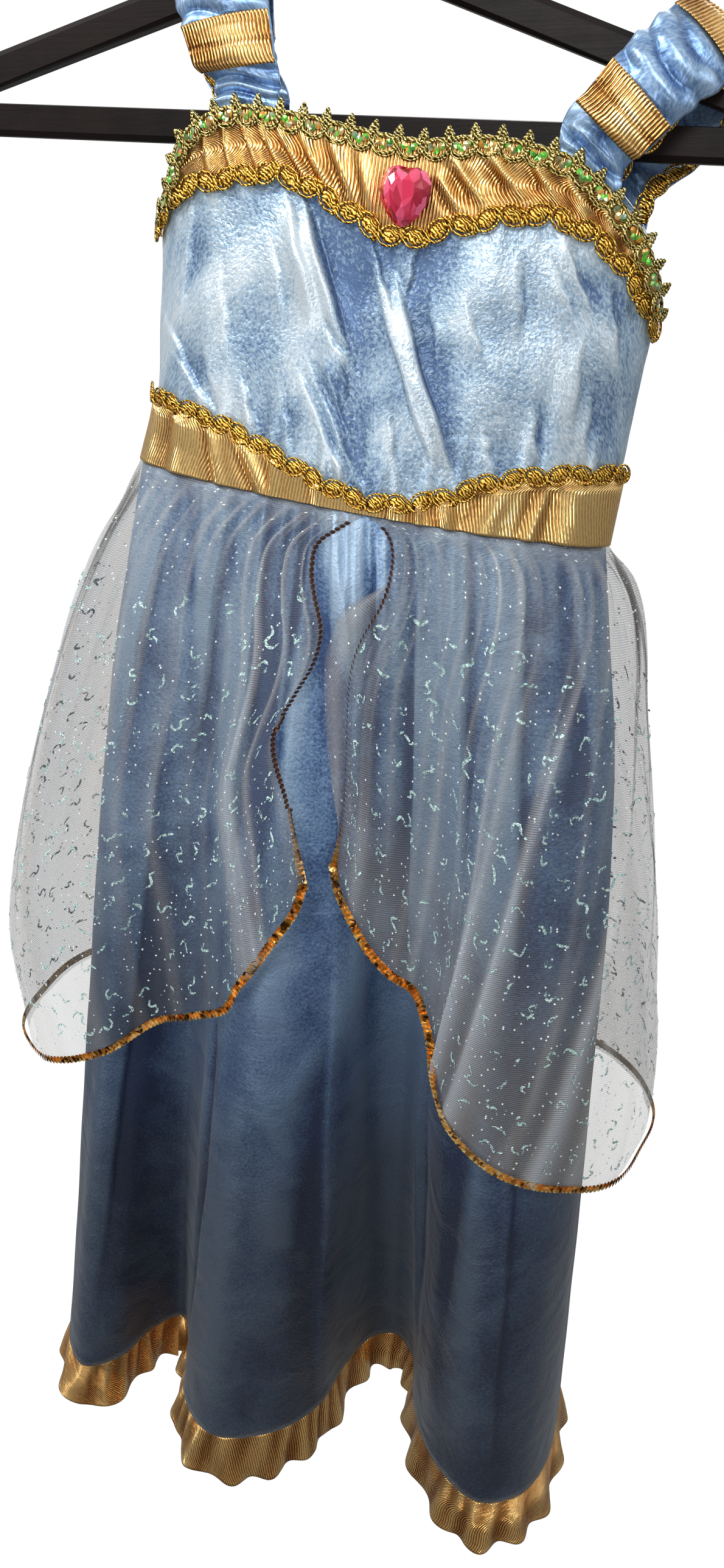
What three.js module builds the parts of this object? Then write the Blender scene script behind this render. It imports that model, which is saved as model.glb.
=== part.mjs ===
// A child's princess dress hanging by its straps on a moulded plastic hanger.
// Millimetres, +Z up, the front faces -Y, and the origin is the inside top of the hanger's hook.
import * as THREE from "three";

// ---- cloth and small sizes ----
const GAP = 0.3; // between pieces that are sewn or laid together
const STRAP_BAND_ROOM = 0.2; // and for a band drawn round a strap
const PUFF_ROOM = 0.8; // more room for a trim laid over gathers
const SATIN = 1.5;
const LAME = 1.2;
const ORGANZA = 1.1;
const BRAID = 1.8;
const ON_TOP = GAP + LAME; // outer face of a band laid on a panel
const ON_BAND = ON_TOP + GAP + BRAID; // outer face of a braid laid on that band

// ---- the hanger ----
const HANGER = {
  half: 228, // centre to the middle of each rounded end
  apex: -71, // where the two arms meet
  bar: -142.5,
  rod: 13.6, // height of the arms and of the bar
  depth: 11,
  chamfer: 2.5,
  bossHalf: 9,
  bossTop: -56,
  tilt: THREE.MathUtils.degToRad(3.3), // the right end hangs lower
};
const HOOK = { wire: 1.9, steps: 22, quarterSides: 4 };
const HOOK_ROUTE = [
  { x: 0, z: -55.6 },
  { x: 0, z: -48 },
  { x: 3, z: -41.5 },
  { x: 14, z: -33 },
  { x: 19.9, z: -18 },
  { x: 14.2, z: -3.9 },
  { x: 0, z: 1.9 },
  { x: -14.2, z: -3.9 },
  { x: -19.4, z: -15 },
  { x: -20.5, z: -24 },
];

// ---- how the dress hangs ----
const DRESS = {
  x: 28.25, // middle of the neckline
  z: -145.35,
  bodiceLean: THREE.MathUtils.degToRad(7.5),
  skirtLean: THREE.MathUtils.degToRad(4.2),
  hemTilt: THREE.MathUtils.degToRad(5),
};
const BODICE = { length: 158, half: 119, front: 26, back: 20, frontSwell: 8, backSwell: 6 };
const SKIRT = { length: 590, ruffle: 32 };
// The bodice is drawn in a little on its left side, above the waist band.
const LEFT_SIDE = [
  { drop: -10, width: 0.985 },
  { drop: 45, width: 0.965 },
  { drop: 125, width: 0.95 },
  { drop: 158, width: 1 },
];

// Edges of the bodice's pieces: how far below the neckline, across the front from the left side seam.
const NECKLINE = [
  { x: -119, drop: 47 },
  { x: -113, drop: 36 },
  { x: -105, drop: 15 },
  { x: -89, drop: 2.4 },
  { x: -71, drop: -2.6 },
  { x: -42, drop: -1.7 },
  { x: 8, drop: 2.5 },
  { x: 38, drop: -2 },
  { x: 63, drop: -0.5 },
  { x: 79, drop: 4.2 },
  { x: 105, drop: 24 },
  { x: 116, drop: 42 },
  { x: 119, drop: 55 },
];
const BACK_NECKLINE = [
  { x: -119, drop: 47 },
  { x: -112, drop: 30 },
  { x: -98, drop: 9 },
  { x: -80, drop: 2 },
  { x: 0, drop: 6 },
  { x: 80, drop: 5 },
  { x: 98, drop: 14 },
  { x: 112, drop: 32 },
  { x: 119, drop: 55 },
];
const BAND_FOOT = [
  { x: -119, drop: 54 },
  { x: -113, drop: 45 },
  { x: -101, drop: 33 },
  { x: -75, drop: 25.7 },
  { x: -53, drop: 21.8 },
  { x: -33, drop: 26 },
  { x: -14, drop: 33.6 },
  { x: 8, drop: 40 },
  { x: 27, drop: 33.9 },
  { x: 58, drop: 24.6 },
  { x: 76, drop: 24.8 },
  { x: 93.5, drop: 32.3 },
  { x: 109, drop: 46.3 },
  { x: 119, drop: 63 },
];
const WAIST_TOP = [
  { x: -119, drop: 124 },
  { x: -85, drop: 127.6 },
  { x: -60, drop: 132 },
  { x: -36, drop: 139.4 },
  { x: -13, drop: 147 },
  { x: 9, drop: 151.5 },
  { x: 30, drop: 148.7 },
  { x: 47, drop: 143 },
  { x: 62, drop: 135 },
  { x: 78, drop: 130 },
  { x: 91, drop: 127 },
  { x: 119, drop: 123.6 },
];

// Long soft folds that run down the bodice front from under the neck band.
const BODICE_FOLDS = [
  { x: -42, drop: 36, toX: -25, toDrop: 82, width: 5, height: 2.4 },
  { x: -34, drop: 38, toX: -5, toDrop: 94, width: 6, height: 2.6 },
  { x: -22, drop: 84, toX: 1, toDrop: 142, width: 5, height: 2.2 },
  { x: 1, drop: 60, toX: 44, toDrop: 132, width: 7, height: 3 },
  { x: 96, drop: 60, toX: 90, toDrop: 124, width: 7, height: 2 },
  { x: -92, drop: 60, toX: -78, toDrop: 122, width: 8, height: 1.6 },
];

// The skirt's hem in plan, round from the left side seam: three bells in front, three behind.
const HEM_FRONT = [
  { x: -168, y: -8 },
  { x: -160, y: -45 },
  { x: -138, y: -66 },
  { x: -118, y: -52 },
  { x: -107, y: -22 },
  { x: -92, y: -6 },
  { x: -77, y: -28 },
  { x: -63, y: -66 },
  { x: -36, y: -84 },
  { x: 2, y: -68 },
  { x: 23, y: -40 },
  { x: 30, y: -6 },
  { x: 42, y: 24 },
  { x: 58, y: 32 },
  { x: 74, y: 18 },
  { x: 84, y: -18 },
  { x: 104, y: -52 },
  { x: 136, y: -71 },
  { x: 162, y: -58 },
  { x: 175, y: -32 },
];
const HEM_BACK = [
  { x: 178, y: -2 },
  { x: 175, y: 36 },
  { x: 158, y: 66 },
  { x: 128, y: 80 },
  { x: 100, y: 72 },
  { x: 78, y: 62 },
  { x: 54, y: 70 },
  { x: 22, y: 89 },
  { x: -14, y: 90 },
  { x: -44, y: 70 },
  { x: -66, y: 44 },
  { x: -90, y: 36 },
  { x: -114, y: 54 },
  { x: -140, y: 66 },
  { x: -162, y: 46 },
  { x: -170, y: 16 },
];
// The overskirt in plan, at its widest.
const OVERSKIRT_FRONT = [
  { x: -203, y: 0 },
  { x: -193, y: -34 },
  { x: -162, y: -58 },
  { x: -122, y: -62 },
  { x: -92, y: -48 },
  { x: -66, y: -58 },
  { x: -28, y: -70 },
  { x: 9, y: -66 },
  { x: 38, y: -68 },
  { x: 56, y: -60 },
  { x: 72, y: -50 },
  { x: 90, y: -62 },
  { x: 118, y: -70 },
  { x: 152, y: -56 },
  { x: 178, y: -30 },
];
const OVERSKIRT_BACK = [
  { x: 190, y: 4 },
  { x: 194, y: 38 },
  { x: 182, y: 66 },
  { x: 144, y: 84 },
  { x: 100, y: 78 },
  { x: 56, y: 90 },
  { x: 10, y: 98 },
  { x: -36, y: 96 },
  { x: -76, y: 82 },
  { x: -110, y: 80 },
  { x: -150, y: 84 },
  { x: -184, y: 66 },
  { x: -202, y: 34 },
];
// How much of the way out to its full width each skirt has come, so far below the waist.
const SKIRT_SPREAD = [
  { drop: 0, out: 0 },
  { drop: 50, out: 0.17 },
  { drop: 100, out: 0.34 },
  { drop: 200, out: 0.54 },
  { drop: 300, out: 0.66 },
  { drop: 400, out: 0.78 },
  { drop: 500, out: 0.88 },
  { drop: 630, out: 1.02 },
];
const OVERSKIRT_SPREAD = [
  { drop: 0, left: 0, right: 0, depth: 0 },
  { drop: 20, left: 0.11, right: 0.2, depth: 0.18 },
  { drop: 50, left: 0.29, right: 0.33, depth: 0.36 },
  { drop: 80, left: 0.44, right: 0.41, depth: 0.48 },
  { drop: 122, left: 0.61, right: 0.54, depth: 0.6 },
  { drop: 165, left: 0.76, right: 0.67, depth: 0.71 },
  { drop: 206, left: 0.88, right: 0.77, depth: 0.8 },
  { drop: 251, left: 0.98, right: 0.86, depth: 0.9 },
  { drop: 290, left: 1.01, right: 0.95, depth: 0.96 },
  { drop: 330, left: 0.92, right: 1, depth: 1 },
  { drop: 385, left: 0.8, right: 1, depth: 1.04 },
];
const OVAL = { half: 160, depth: 62 }; // the plain oval that the overskirt's gathers stand out from
const SKIRT_FOLD_POWER = 1.2; // the folds open late, towards the hem

// The overskirt's free edges, from centre front at the waist to the petal's corner.
const LEFT_EDGE = [
  { x: 9, drop: 0 },
  { x: 0.7, drop: 6 },
  { x: -9.5, drop: 14.7 },
  { x: -11.5, drop: 27 },
  { x: -9, drop: 38 },
  { x: -4, drop: 53.5 },
  { x: -5.6, drop: 69 },
  { x: -14, drop: 88 },
  { x: -23, drop: 111 },
  { x: -14, drop: 141 },
  { x: -8.6, drop: 162 },
  { x: -2, drop: 188 },
];
const LEFT_HEM = [
  { x: -2, drop: 188 },
  { x: -5.5, drop: 204 },
  { x: -16, drop: 225 },
  { x: -32, drop: 255 },
  { x: -41, drop: 275 },
  { x: -59, drop: 287 },
  { x: -87, drop: 307 },
  { x: -112, drop: 326 },
  { x: -140, drop: 341 },
  { x: -168, drop: 350 },
  { x: -172, drop: 349, back: true },
  { x: -120, drop: 340, back: true },
  { x: 9, drop: 330, back: true },
];
const RIGHT_EDGE = [
  { x: 11, drop: 0 },
  { x: 18.8, drop: 4.4 },
  { x: 23.5, drop: 11 },
  { x: 24.7, drop: 24.6 },
  { x: 22.2, drop: 38 },
  { x: 14.6, drop: 56 },
  { x: 11.3, drop: 74 },
  { x: 13.2, drop: 110 },
  { x: 15, drop: 138 },
  { x: 12.2, drop: 173 },
];
const RIGHT_HEM = [
  { x: 12.2, drop: 173 },
  { x: 16.3, drop: 187 },
  { x: 23, drop: 198 },
  { x: 34.6, drop: 215.6 },
  { x: 46, drop: 228 },
  { x: 57, drop: 238 },
  { x: 68, drop: 264 },
  { x: 76, drop: 298 },
  { x: 88, drop: 315 },
  { x: 101, drop: 323 },
  { x: 133, drop: 334 },
  { x: 150, drop: 340 },
  { x: 171, drop: 346 },
  { x: 184, drop: 346, back: true },
  { x: 120, drop: 338, back: true },
  { x: 12, drop: 330, back: true },
];
const PETAL = {
  gathers: 10,
  columnsEach: 4,
  gatherHeight: 3.4,
  edging: 5, // how far the sequin edging reaches in from the edge
  parting: 0.002, // share of a petal left out where the two meet behind
};
const PETAL_ROWS = [0, 0.06, 0.15, 0.26, 0.38, 0.5, 0.62, 0.75, 0.88, 1];
const RUFFLE = { frontWaves: 22, backWaves: 18, columnsEach: 4, height: 6.5, flare: 5 };

// The straps: the middle line from the front neckline over the hanger's arm to the back neckline.
// half is half the width, lean how far the strap's width turns from level, right end up.
const STRAPS = {
  left: {
    neckX: -71,
    neckHalf: 16,
    backX: -80,
    route: [
      { x: -41.8, y: -20.5, z: -131, half: 16, lean: 0 },
      { x: -45, y: -24, z: -114, half: 19, lean: 4 },
      { x: -52, y: -17, z: -89, half: 21, lean: 9 },
      { x: -57, y: 0, z: -73.6, half: 22, lean: 14.1 },
      { x: -60, y: 14, z: -87, half: 21, lean: 12 },
      { x: -58, y: 17, z: -112, half: 18, lean: 8 },
      { x: -51, y: 15.2, z: -135, half: 16, lean: 6 },
    ],
    outer: -1,
  },
  right: {
    neckX: 81,
    neckHalf: 14,
    backX: 93,
    route: [
      { x: 106, y: -19, z: -156, half: 15, lean: -36 },
      { x: 119, y: -24, z: -143, half: 17, lean: -43 },
      { x: 136, y: -19, z: -126, half: 18, lean: -46 },
      { x: 157, y: 0, z: -112.4, half: 19, lean: -44 },
      { x: 154, y: 14, z: -128, half: 18, lean: -34 },
      { x: 138, y: 17, z: -149, half: 16, lean: -30 },
      { x: 122, y: 13, z: -167, half: 15, lean: -32 },
    ],
    outer: 1,
  },
};
const STRAP = {
  rows: 24,
  columns: 5,
  length: 125,
  sewn: 0.08, // share of the length that lies on the bodice, at each end
  join: 0.07, // share over which the strap leaves it
  puff: 3.2,
  crown: 2.6,
  bandHalf: 0.94,
};
// The bands across a strap, by the rows of the strap's wall that they span.
const STRAP_BANDS = [
  { first: 3, last: 6 },
  { first: 10, last: 13 },
  { first: 16, last: 19 },
];
// The braid down a strap's outer edge, in shares of the half width and of the length.
const STRAP_BRAID = { inner: 0.66, outer: 1.06, from: 0.095, to: 0.97, scallops: 14, waist: 0.62 };
const PICOT = { pitch: 11, columnsEach: 4, foot: 0.6, point: 6, loop: 5.5, under: 4.5 };
const MEDALLION = { pitch: 10.5, columnsEach: 2, half: 4, waist: 2.2 };
const GEM = { x: 8, drop: 22, half: 11.3, height: 23, depth: 7 };

// ---- small mathematics ----
const mix = (a, b, k) => a + (b - a) * k;
const clamp = (v) => Math.min(1, Math.max(0, v));
const ease = (v) => clamp(v) ** 2 * (3 - 2 * clamp(v));
const steps = (count) => Array.from({ length: count + 1 }, (_, i) => i / count);

// A smooth reading of one column of a table against another.
function reading(rows, from, to) {
  const slope = (i) => {
    const a = rows[Math.max(0, i - 1)];
    const b = rows[Math.min(rows.length - 1, i + 1)];
    return (b[to] - a[to]) / (b[from] - a[from]);
  };
  return (at) => {
    const last = rows.length - 2;
    const found = rows.findIndex((row, i) => i > 0 && at <= row[from]) - 1;
    const i = at <= rows[0][from] ? 0 : found < 0 ? last : found;
    const span = rows[i + 1][from] - rows[i][from];
    const k = (at - rows[i][from]) / span;
    if (k < 0) return rows[0][to] + slope(0) * k * span;
    if (k > 1) return rows[last + 1][to] + slope(last + 1) * (k - 1) * span;
    const back = 1 - k;
    return (
      rows[i][to] * (1 + 2 * k) * back * back +
      slope(i) * span * k * back * back +
      rows[i + 1][to] * k * k * (3 - 2 * k) -
      slope(i + 1) * span * k * k * back
    );
  };
}

// Dress places are x across, y to the back and drop down the dress's own middle line.
function hang({ x, y, drop }) {
  const above = Math.min(drop, BODICE.length);
  const below = Math.max(0, drop - BODICE.length);
  const tilt = mix(DRESS.bodiceLean, DRESS.hemTilt, clamp(below / SKIRT.length));
  const { bodiceLean, skirtLean } = DRESS;
  return new THREE.Vector3(
    DRESS.x - Math.sin(bodiceLean) * above - Math.sin(skirtLean) * below + x * Math.cos(tilt),
    y,
    DRESS.z - Math.cos(bodiceLean) * above - Math.cos(skirtLean) * below - x * Math.sin(tilt),
  );
}

// A place between side seams: turn runs 0 to 1 across the front and 1 to 2 across the back.
function turnAngle(turn) {
  return Math.PI * (turn + 0.09 * Math.sin(2 * Math.PI * turn));
}

function foldsAt(x, drop) {
  return BODICE_FOLDS.reduce((sum, fold) => {
    const dx = fold.toX - fold.x;
    const dd = fold.toDrop - fold.drop;
    const along = ((x - fold.x) * dx + (drop - fold.drop) * dd) / (dx * dx + dd * dd);
    if (along <= 0 || along >= 1) return sum;
    const aside = ((x - fold.x) * dd - (drop - fold.drop) * dx) / Math.hypot(dx, dd);
    return sum + fold.height * Math.sin(Math.PI * along) * Math.exp(-((aside / fold.width) ** 2));
  }, 0);
}

const leftSide = reading(LEFT_SIDE, "drop", "width");

// The bodice: a flat oval tube, a little deeper towards the waist.
function bodice(turn, drop) {
  const angle = turnAngle(turn);
  const side = Math.sin(angle);
  const down = clamp(drop / BODICE.length);
  const depth =
    side > 0
      ? BODICE.front + BODICE.frontSwell * down
      : BODICE.back + BODICE.backSwell * down;
  const x = -BODICE.half * Math.cos(angle);
  const relief = side > 0 ? foldsAt(x, drop) * side : 0;
  const drawnIn = mix(1, leftSide(drop), clamp(-x / BODICE.half));
  return { x: x * drawnIn, y: -depth * side - relief, drop };
}
const xAt = (turn) => -BODICE.half * Math.cos(turnAngle(turn));

// A closed plan line, read by the same turns as the bodice.
function ring(front, back) {
  const points = [...front, ...back].map(({ x, y }) => new THREE.Vector3(x, y, 0));
  const curve = new THREE.CatmullRomCurve3(points, true, "centripetal");
  const divisions = points.length * 60;
  curve.arcLengthDivisions = divisions;
  const lengths = curve.getLengths();
  const seam = lengths[front.length * 60] / lengths[divisions];
  return (turn) => {
    const around = ((turn % 2) + 2) % 2;
    return curve.getPointAt(around < 1 ? around * seam : seam + (around - 1) * (1 - seam));
  };
}
const hemRing = ring(HEM_FRONT, HEM_BACK);
const overskirtRing = ring(OVERSKIRT_FRONT, OVERSKIRT_BACK);
const skirtSpread = reading(SKIRT_SPREAD, "drop", "out");
const leftSpread = reading(OVERSKIRT_SPREAD, "drop", "left");
const rightSpread = reading(OVERSKIRT_SPREAD, "drop", "right");
const depthSpread = reading(OVERSKIRT_SPREAD, "drop", "depth");

// The skirt: the waist's oval opening out into the bells of the hem.
function skirt(turn, below) {
  const waist = bodice(turn, BODICE.length);
  const hem = hemRing(turn);
  return {
    x: mix(waist.x, hem.x, skirtSpread(below)),
    y: mix(waist.y, hem.y, Math.max(0, below / SKIRT.length) ** SKIRT_FOLD_POWER),
    drop: BODICE.length + below,
  };
}

function overskirt(turn, below) {
  const waist = bodice(turn, BODICE.length);
  const wide = overskirtRing(turn);
  const rightness = clamp(0.5 + waist.x / BODICE.half / 2);
  return {
    x: mix(waist.x, wide.x, mix(leftSpread(below), rightSpread(below), rightness)),
    y: mix(waist.y, wide.y, depthSpread(below)),
    drop: BODICE.length + below,
  };
}

// The turn at which the overskirt is at a given x, in front or behind.
function turnAt({ x, drop, back }) {
  let low = back ? 1 : 0;
  let high = back ? 2 : 1;
  for (let i = 0; i < 40; i += 1) {
    const middle = (low + high) / 2;
    const tooFar = back ? overskirt(middle, drop).x < x : overskirt(middle, drop).x > x;
    if (tooFar) high = middle;
    else low = middle;
  }
  return (low + high) / 2;
}

// ---- solids ----
// A closed wall between two grids of points; facing 1 has its outer face where the columns
// run round the dress from left to right and the rows run down.
function wallBetween(outer, inner, facing) {
  const rows = outer.length;
  const columns = outer[0].length;
  const positions = [];
  for (const grid of [outer, inner]) {
    for (const row of grid) for (const p of row) positions.push(p.x, p.y, p.z);
  }
  const index = [];
  const out = (r, c) => r * columns + c;
  const back = (r, c) => rows * columns + r * columns + c;
  const quad = (a, b, c, d) => {
    if (facing > 0) index.push(a, b, c, a, c, d);
    else index.push(a, c, b, a, d, c);
  };
  for (let r = 0; r + 1 < rows; r += 1) {
    for (let c = 0; c + 1 < columns; c += 1) {
      quad(out(r, c), out(r + 1, c), out(r + 1, c + 1), out(r, c + 1));
      quad(back(r, c), back(r, c + 1), back(r + 1, c + 1), back(r + 1, c));
    }
    quad(out(r, 0), back(r, 0), back(r + 1, 0), out(r + 1, 0));
    const end = columns - 1;
    quad(out(r, end), out(r + 1, end), back(r + 1, end), back(r, end));
  }
  for (let c = 0; c + 1 < columns; c += 1) {
    quad(out(0, c), out(0, c + 1), back(0, c + 1), back(0, c));
    const foot = rows - 1;
    quad(out(foot, c), back(foot, c), back(foot, c + 1), out(foot, c + 1));
  }
  const geometry = new THREE.BufferGeometry();
  geometry.setAttribute("position", new THREE.Float32BufferAttribute(positions, 3));
  geometry.setIndex(index);
  geometry.computeVertexNormals();
  return geometry;
}

const PROBE = 1e-3;
function normalAt(surface, u, v, facing) {
  const across = surface(u + PROBE, v).sub(surface(u - PROBE, v));
  const down = surface(u, v + PROBE).sub(surface(u, v - PROBE));
  return down.cross(across).normalize().multiplyScalar(facing);
}

// A wall over a surface(u, v): its outer face is lifted off the surface, its inner face lies
// one thickness behind.
function cloth(surface, us, vs, { thickness, lift = 0, facing = 1 }) {
  const grid = (height) =>
    vs.map((v) =>
      us.map((u) => surface(u, v).addScaledVector(normalAt(surface, u, v, facing), height)),
    );
  return wallBetween(grid(lift), grid(lift - thickness), facing);
}

const dress = new THREE.Group();
function add(name, geometry, material, group = dress) {
  const mesh = new THREE.Mesh(geometry, material);
  mesh.name = name;
  group.add(mesh);
}

const finish = (color, roughness, metalness) =>
  new THREE.MeshStandardMaterial({ color, roughness, metalness, side: THREE.DoubleSide });
const blueSatin = finish(0x86a6c8, 0.35, 0.1);
const skirtSatin = finish(0x36507a, 0.4, 0.1);
const goldLame = finish(0xbe9155, 0.3, 0.8);
const goldBraid = finish(0xc8963a, 0.4, 0.8);
const oliveBraid = finish(0x968746, 0.5, 0.6);
const glitterOrganza = finish(0x8d9bb8, 0.6, 0);
const copperSequin = finish(0xb8692a, 0.3, 0.7);
const roseJewel = finish(0xd23c64, 0.1, 0);
const darkPlastic = finish(0x1e1816, 0.35, 0);
const chromedWire = finish(0xc8c8cc, 0.2, 1);

// ---- hanger ----
function hangerFrame() {
  const { half, apex, bar, rod, depth, chamfer, bossHalf, bossTop } = HANGER;
  const slope = (apex - bar) / half;
  const angle = Math.atan(slope);
  const reach = rod / 2;
  const rise = reach / Math.cos(angle);
  const outline = new THREE.Shape();
  outline.moveTo(-half, bar - reach);
  outline.lineTo(half, bar - reach);
  outline.absarc(half, bar, reach, -Math.PI / 2, Math.PI / 2 - angle, false);
  outline.lineTo(bossHalf, apex + rise - slope * bossHalf);
  outline.lineTo(bossHalf, bossTop);
  outline.lineTo(-bossHalf, bossTop);
  outline.lineTo(-bossHalf, apex + rise - slope * bossHalf);
  outline.absarc(-half, bar, reach, Math.PI / 2 + angle, (3 * Math.PI) / 2, false);
  const inside = (apex - rise - bar - reach) / slope;
  const opening = new THREE.Path();
  opening.moveTo(-inside, bar + reach);
  opening.lineTo(0, apex - rise);
  opening.lineTo(inside, bar + reach);
  opening.closePath();
  outline.holes.push(opening);
  const geometry = new THREE.ExtrudeGeometry(outline, {
    depth: depth - 2 * chamfer,
    bevelThickness: chamfer,
    bevelSize: chamfer,
    bevelOffset: -chamfer,
    bevelSegments: 1,
    curveSegments: 6,
  });
  geometry.rotateX(Math.PI / 2);
  geometry.translate(0, depth / 2 - chamfer, 0);
  return geometry;
}

function hookWire() {
  const route = HOOK_ROUTE.map(({ x, z }) => new THREE.Vector3(x, 0, z));
  const round = new THREE.Shape();
  round.absarc(0, 0, HOOK.wire, 0, 2 * Math.PI, false);
  return new THREE.ExtrudeGeometry(round, {
    steps: HOOK.steps,
    curveSegments: HOOK.quarterSides,
    extrudePath: new THREE.CatmullRomCurve3(route, false, "centripetal"),
  });
}
const hangerGroup = new THREE.Group();
hangerGroup.rotation.y = HANGER.tilt;
add("hanger", hangerFrame(), darkPlastic, hangerGroup);
add("hanger_hook", hookWire(), chromedWire, hangerGroup);
dress.add(hangerGroup);

// ---- bodice ----
const neckline = reading(NECKLINE, "x", "drop");
const backNeckline = reading(BACK_NECKLINE, "x", "drop");
const bandFoot = reading(BAND_FOOT, "x", "drop");
const waistTop = reading(WAIST_TOP, "x", "drop");

// A surface over the bodice between two edges read across it.
const bodiceBetween = (top, foot) => (turn, v) => {
  const x = xAt(turn);
  return hang(bodice(turn, mix(top(x), foot(x), v)));
};
const waistSeam = () => BODICE.length - GAP / 2;
const SEAM_TURN = 0.0009; // half the gap at a side seam, as a turn
const acrossFront = (count) => steps(count).map((k) => mix(SEAM_TURN, 1 - SEAM_TURN, k));
const acrossBack = (count) => acrossFront(count).map((turn) => 1 + turn);

add(
  "bodice_front",
  cloth(bodiceBetween(neckline, waistSeam), acrossFront(30), steps(9), { thickness: SATIN }),
  blueSatin,
);
add(
  "bodice_back",
  cloth(bodiceBetween(backNeckline, waistSeam), acrossBack(16), steps(4), { thickness: SATIN }),
  blueSatin,
);
add(
  "neck_band",
  cloth(bodiceBetween(neckline, bandFoot), acrossFront(30), steps(2), {
    thickness: LAME,
    lift: ON_TOP,
  }),
  goldLame,
);
add(
  "waist_band",
  cloth(bodiceBetween(waistTop, waistSeam), acrossFront(30), steps(3), {
    thickness: LAME,
    lift: ON_TOP,
  }),
  goldLame,
);

// Braids: the same wall, with edges that swing in and out once for each repeat.
const repeats = (pitch) => Math.round((2 * BODICE.half) / pitch);
function braidAcross(line, above, below, { pitch, columnsEach }) {
  const count = repeats(pitch);
  const swing = (turn) => (1 - Math.cos(2 * Math.PI * count * turn)) / 2;
  const surface = (turn, v) => {
    const x = xAt(turn);
    const reach = mix(-above(x, swing(turn)), below(x, swing(turn)), v);
    return hang(bodice(turn, line(x) + reach));
  };
  const columns = acrossFront(count * columnsEach);
  return cloth(surface, columns, [0, 1], { thickness: BRAID, lift: ON_BAND });
}
// Towards the side seams the neck band narrows, and its two braids share what width it has.
const room = (x) => (bandFoot(x) - neckline(x)) / 2 - GAP;
const medallion = (x, swing) => mix(MEDALLION.waist, MEDALLION.half, swing);
add(
  "neck_trim",
  braidAcross(
    neckline,
    (x, swing) => PICOT.foot + PICOT.point * swing,
    (x, swing) => Math.min(room(x), PICOT.under + PICOT.loop * swing),
    PICOT,
  ),
  oliveBraid,
);
add(
  "neck_braid",
  braidAcross(bandFoot, (x, swing) => Math.min(room(x), medallion(x, swing)), medallion, MEDALLION),
  goldBraid,
);
add("waist_braid", braidAcross(waistTop, medallion, medallion, MEDALLION), goldBraid);

// The jewel: a faceted drop, round above and pointed below.
function jewel() {
  const { half, height, depth } = GEM;
  const sides = 12;
  const ringOf = (scale, out) =>
    Array.from({ length: sides }, (_, i) => {
      const angle = (2 * Math.PI * i) / sides;
      const width = half * Math.cos(angle);
      const rise = Math.sin(angle);
      const tall = rise > 0 ? 0.4 * height * rise : 0.6 * height * rise;
      const taper = rise < 0 ? 1 - 0.28 * Math.sin(-Math.PI * rise) : 1;
      return { x: width * taper * scale, rise: tall * scale, out };
    });
  const rings = [ringOf(0.9, 0), ringOf(1, depth * 0.3), ringOf(0.78, depth * 0.75), ringOf(0.5, depth)];
  const turnX = (x) => Math.acos(-x / BODICE.half) / Math.PI;
  const middle = hang({ x: GEM.x, y: bodice(turnX(GEM.x), GEM.drop).y, drop: GEM.drop });
  const acrossDress = hang({ x: GEM.x + 1, y: 0, drop: GEM.drop }).sub(
    hang({ x: GEM.x, y: 0, drop: GEM.drop }),
  );
  const up = new THREE.Vector3(-acrossDress.z, 0, acrossDress.x);
  const seat = ON_TOP + GAP + 0.6;
  const positions = [];
  const point = ({ x, rise, out }) => {
    const p = middle.clone().addScaledVector(acrossDress, x).addScaledVector(up, rise);
    positions.push(p.x, p.y - seat - out, p.z);
    return positions.length / 3 - 1;
  };
  const corners = rings.map((one) => one.map(point));
  const index = [];
  for (let r = 0; r + 1 < corners.length; r += 1) {
    for (let i = 0; i < sides; i += 1) {
      const j = (i + 1) % sides;
      index.push(corners[r][i], corners[r][j], corners[r + 1][j]);
      index.push(corners[r][i], corners[r + 1][j], corners[r + 1][i]);
    }
  }
  const face = corners[corners.length - 1];
  const seatRing = corners[0];
  for (let i = 1; i + 1 < sides; i += 1) {
    index.push(face[0], face[i], face[i + 1]);
    index.push(seatRing[0], seatRing[i + 1], seatRing[i]);
  }
  const geometry = new THREE.BufferGeometry();
  geometry.setAttribute("position", new THREE.Float32BufferAttribute(positions, 3));
  geometry.setIndex(index);
  return geometry;
}
add("gem", jewel(), roseJewel);

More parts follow.
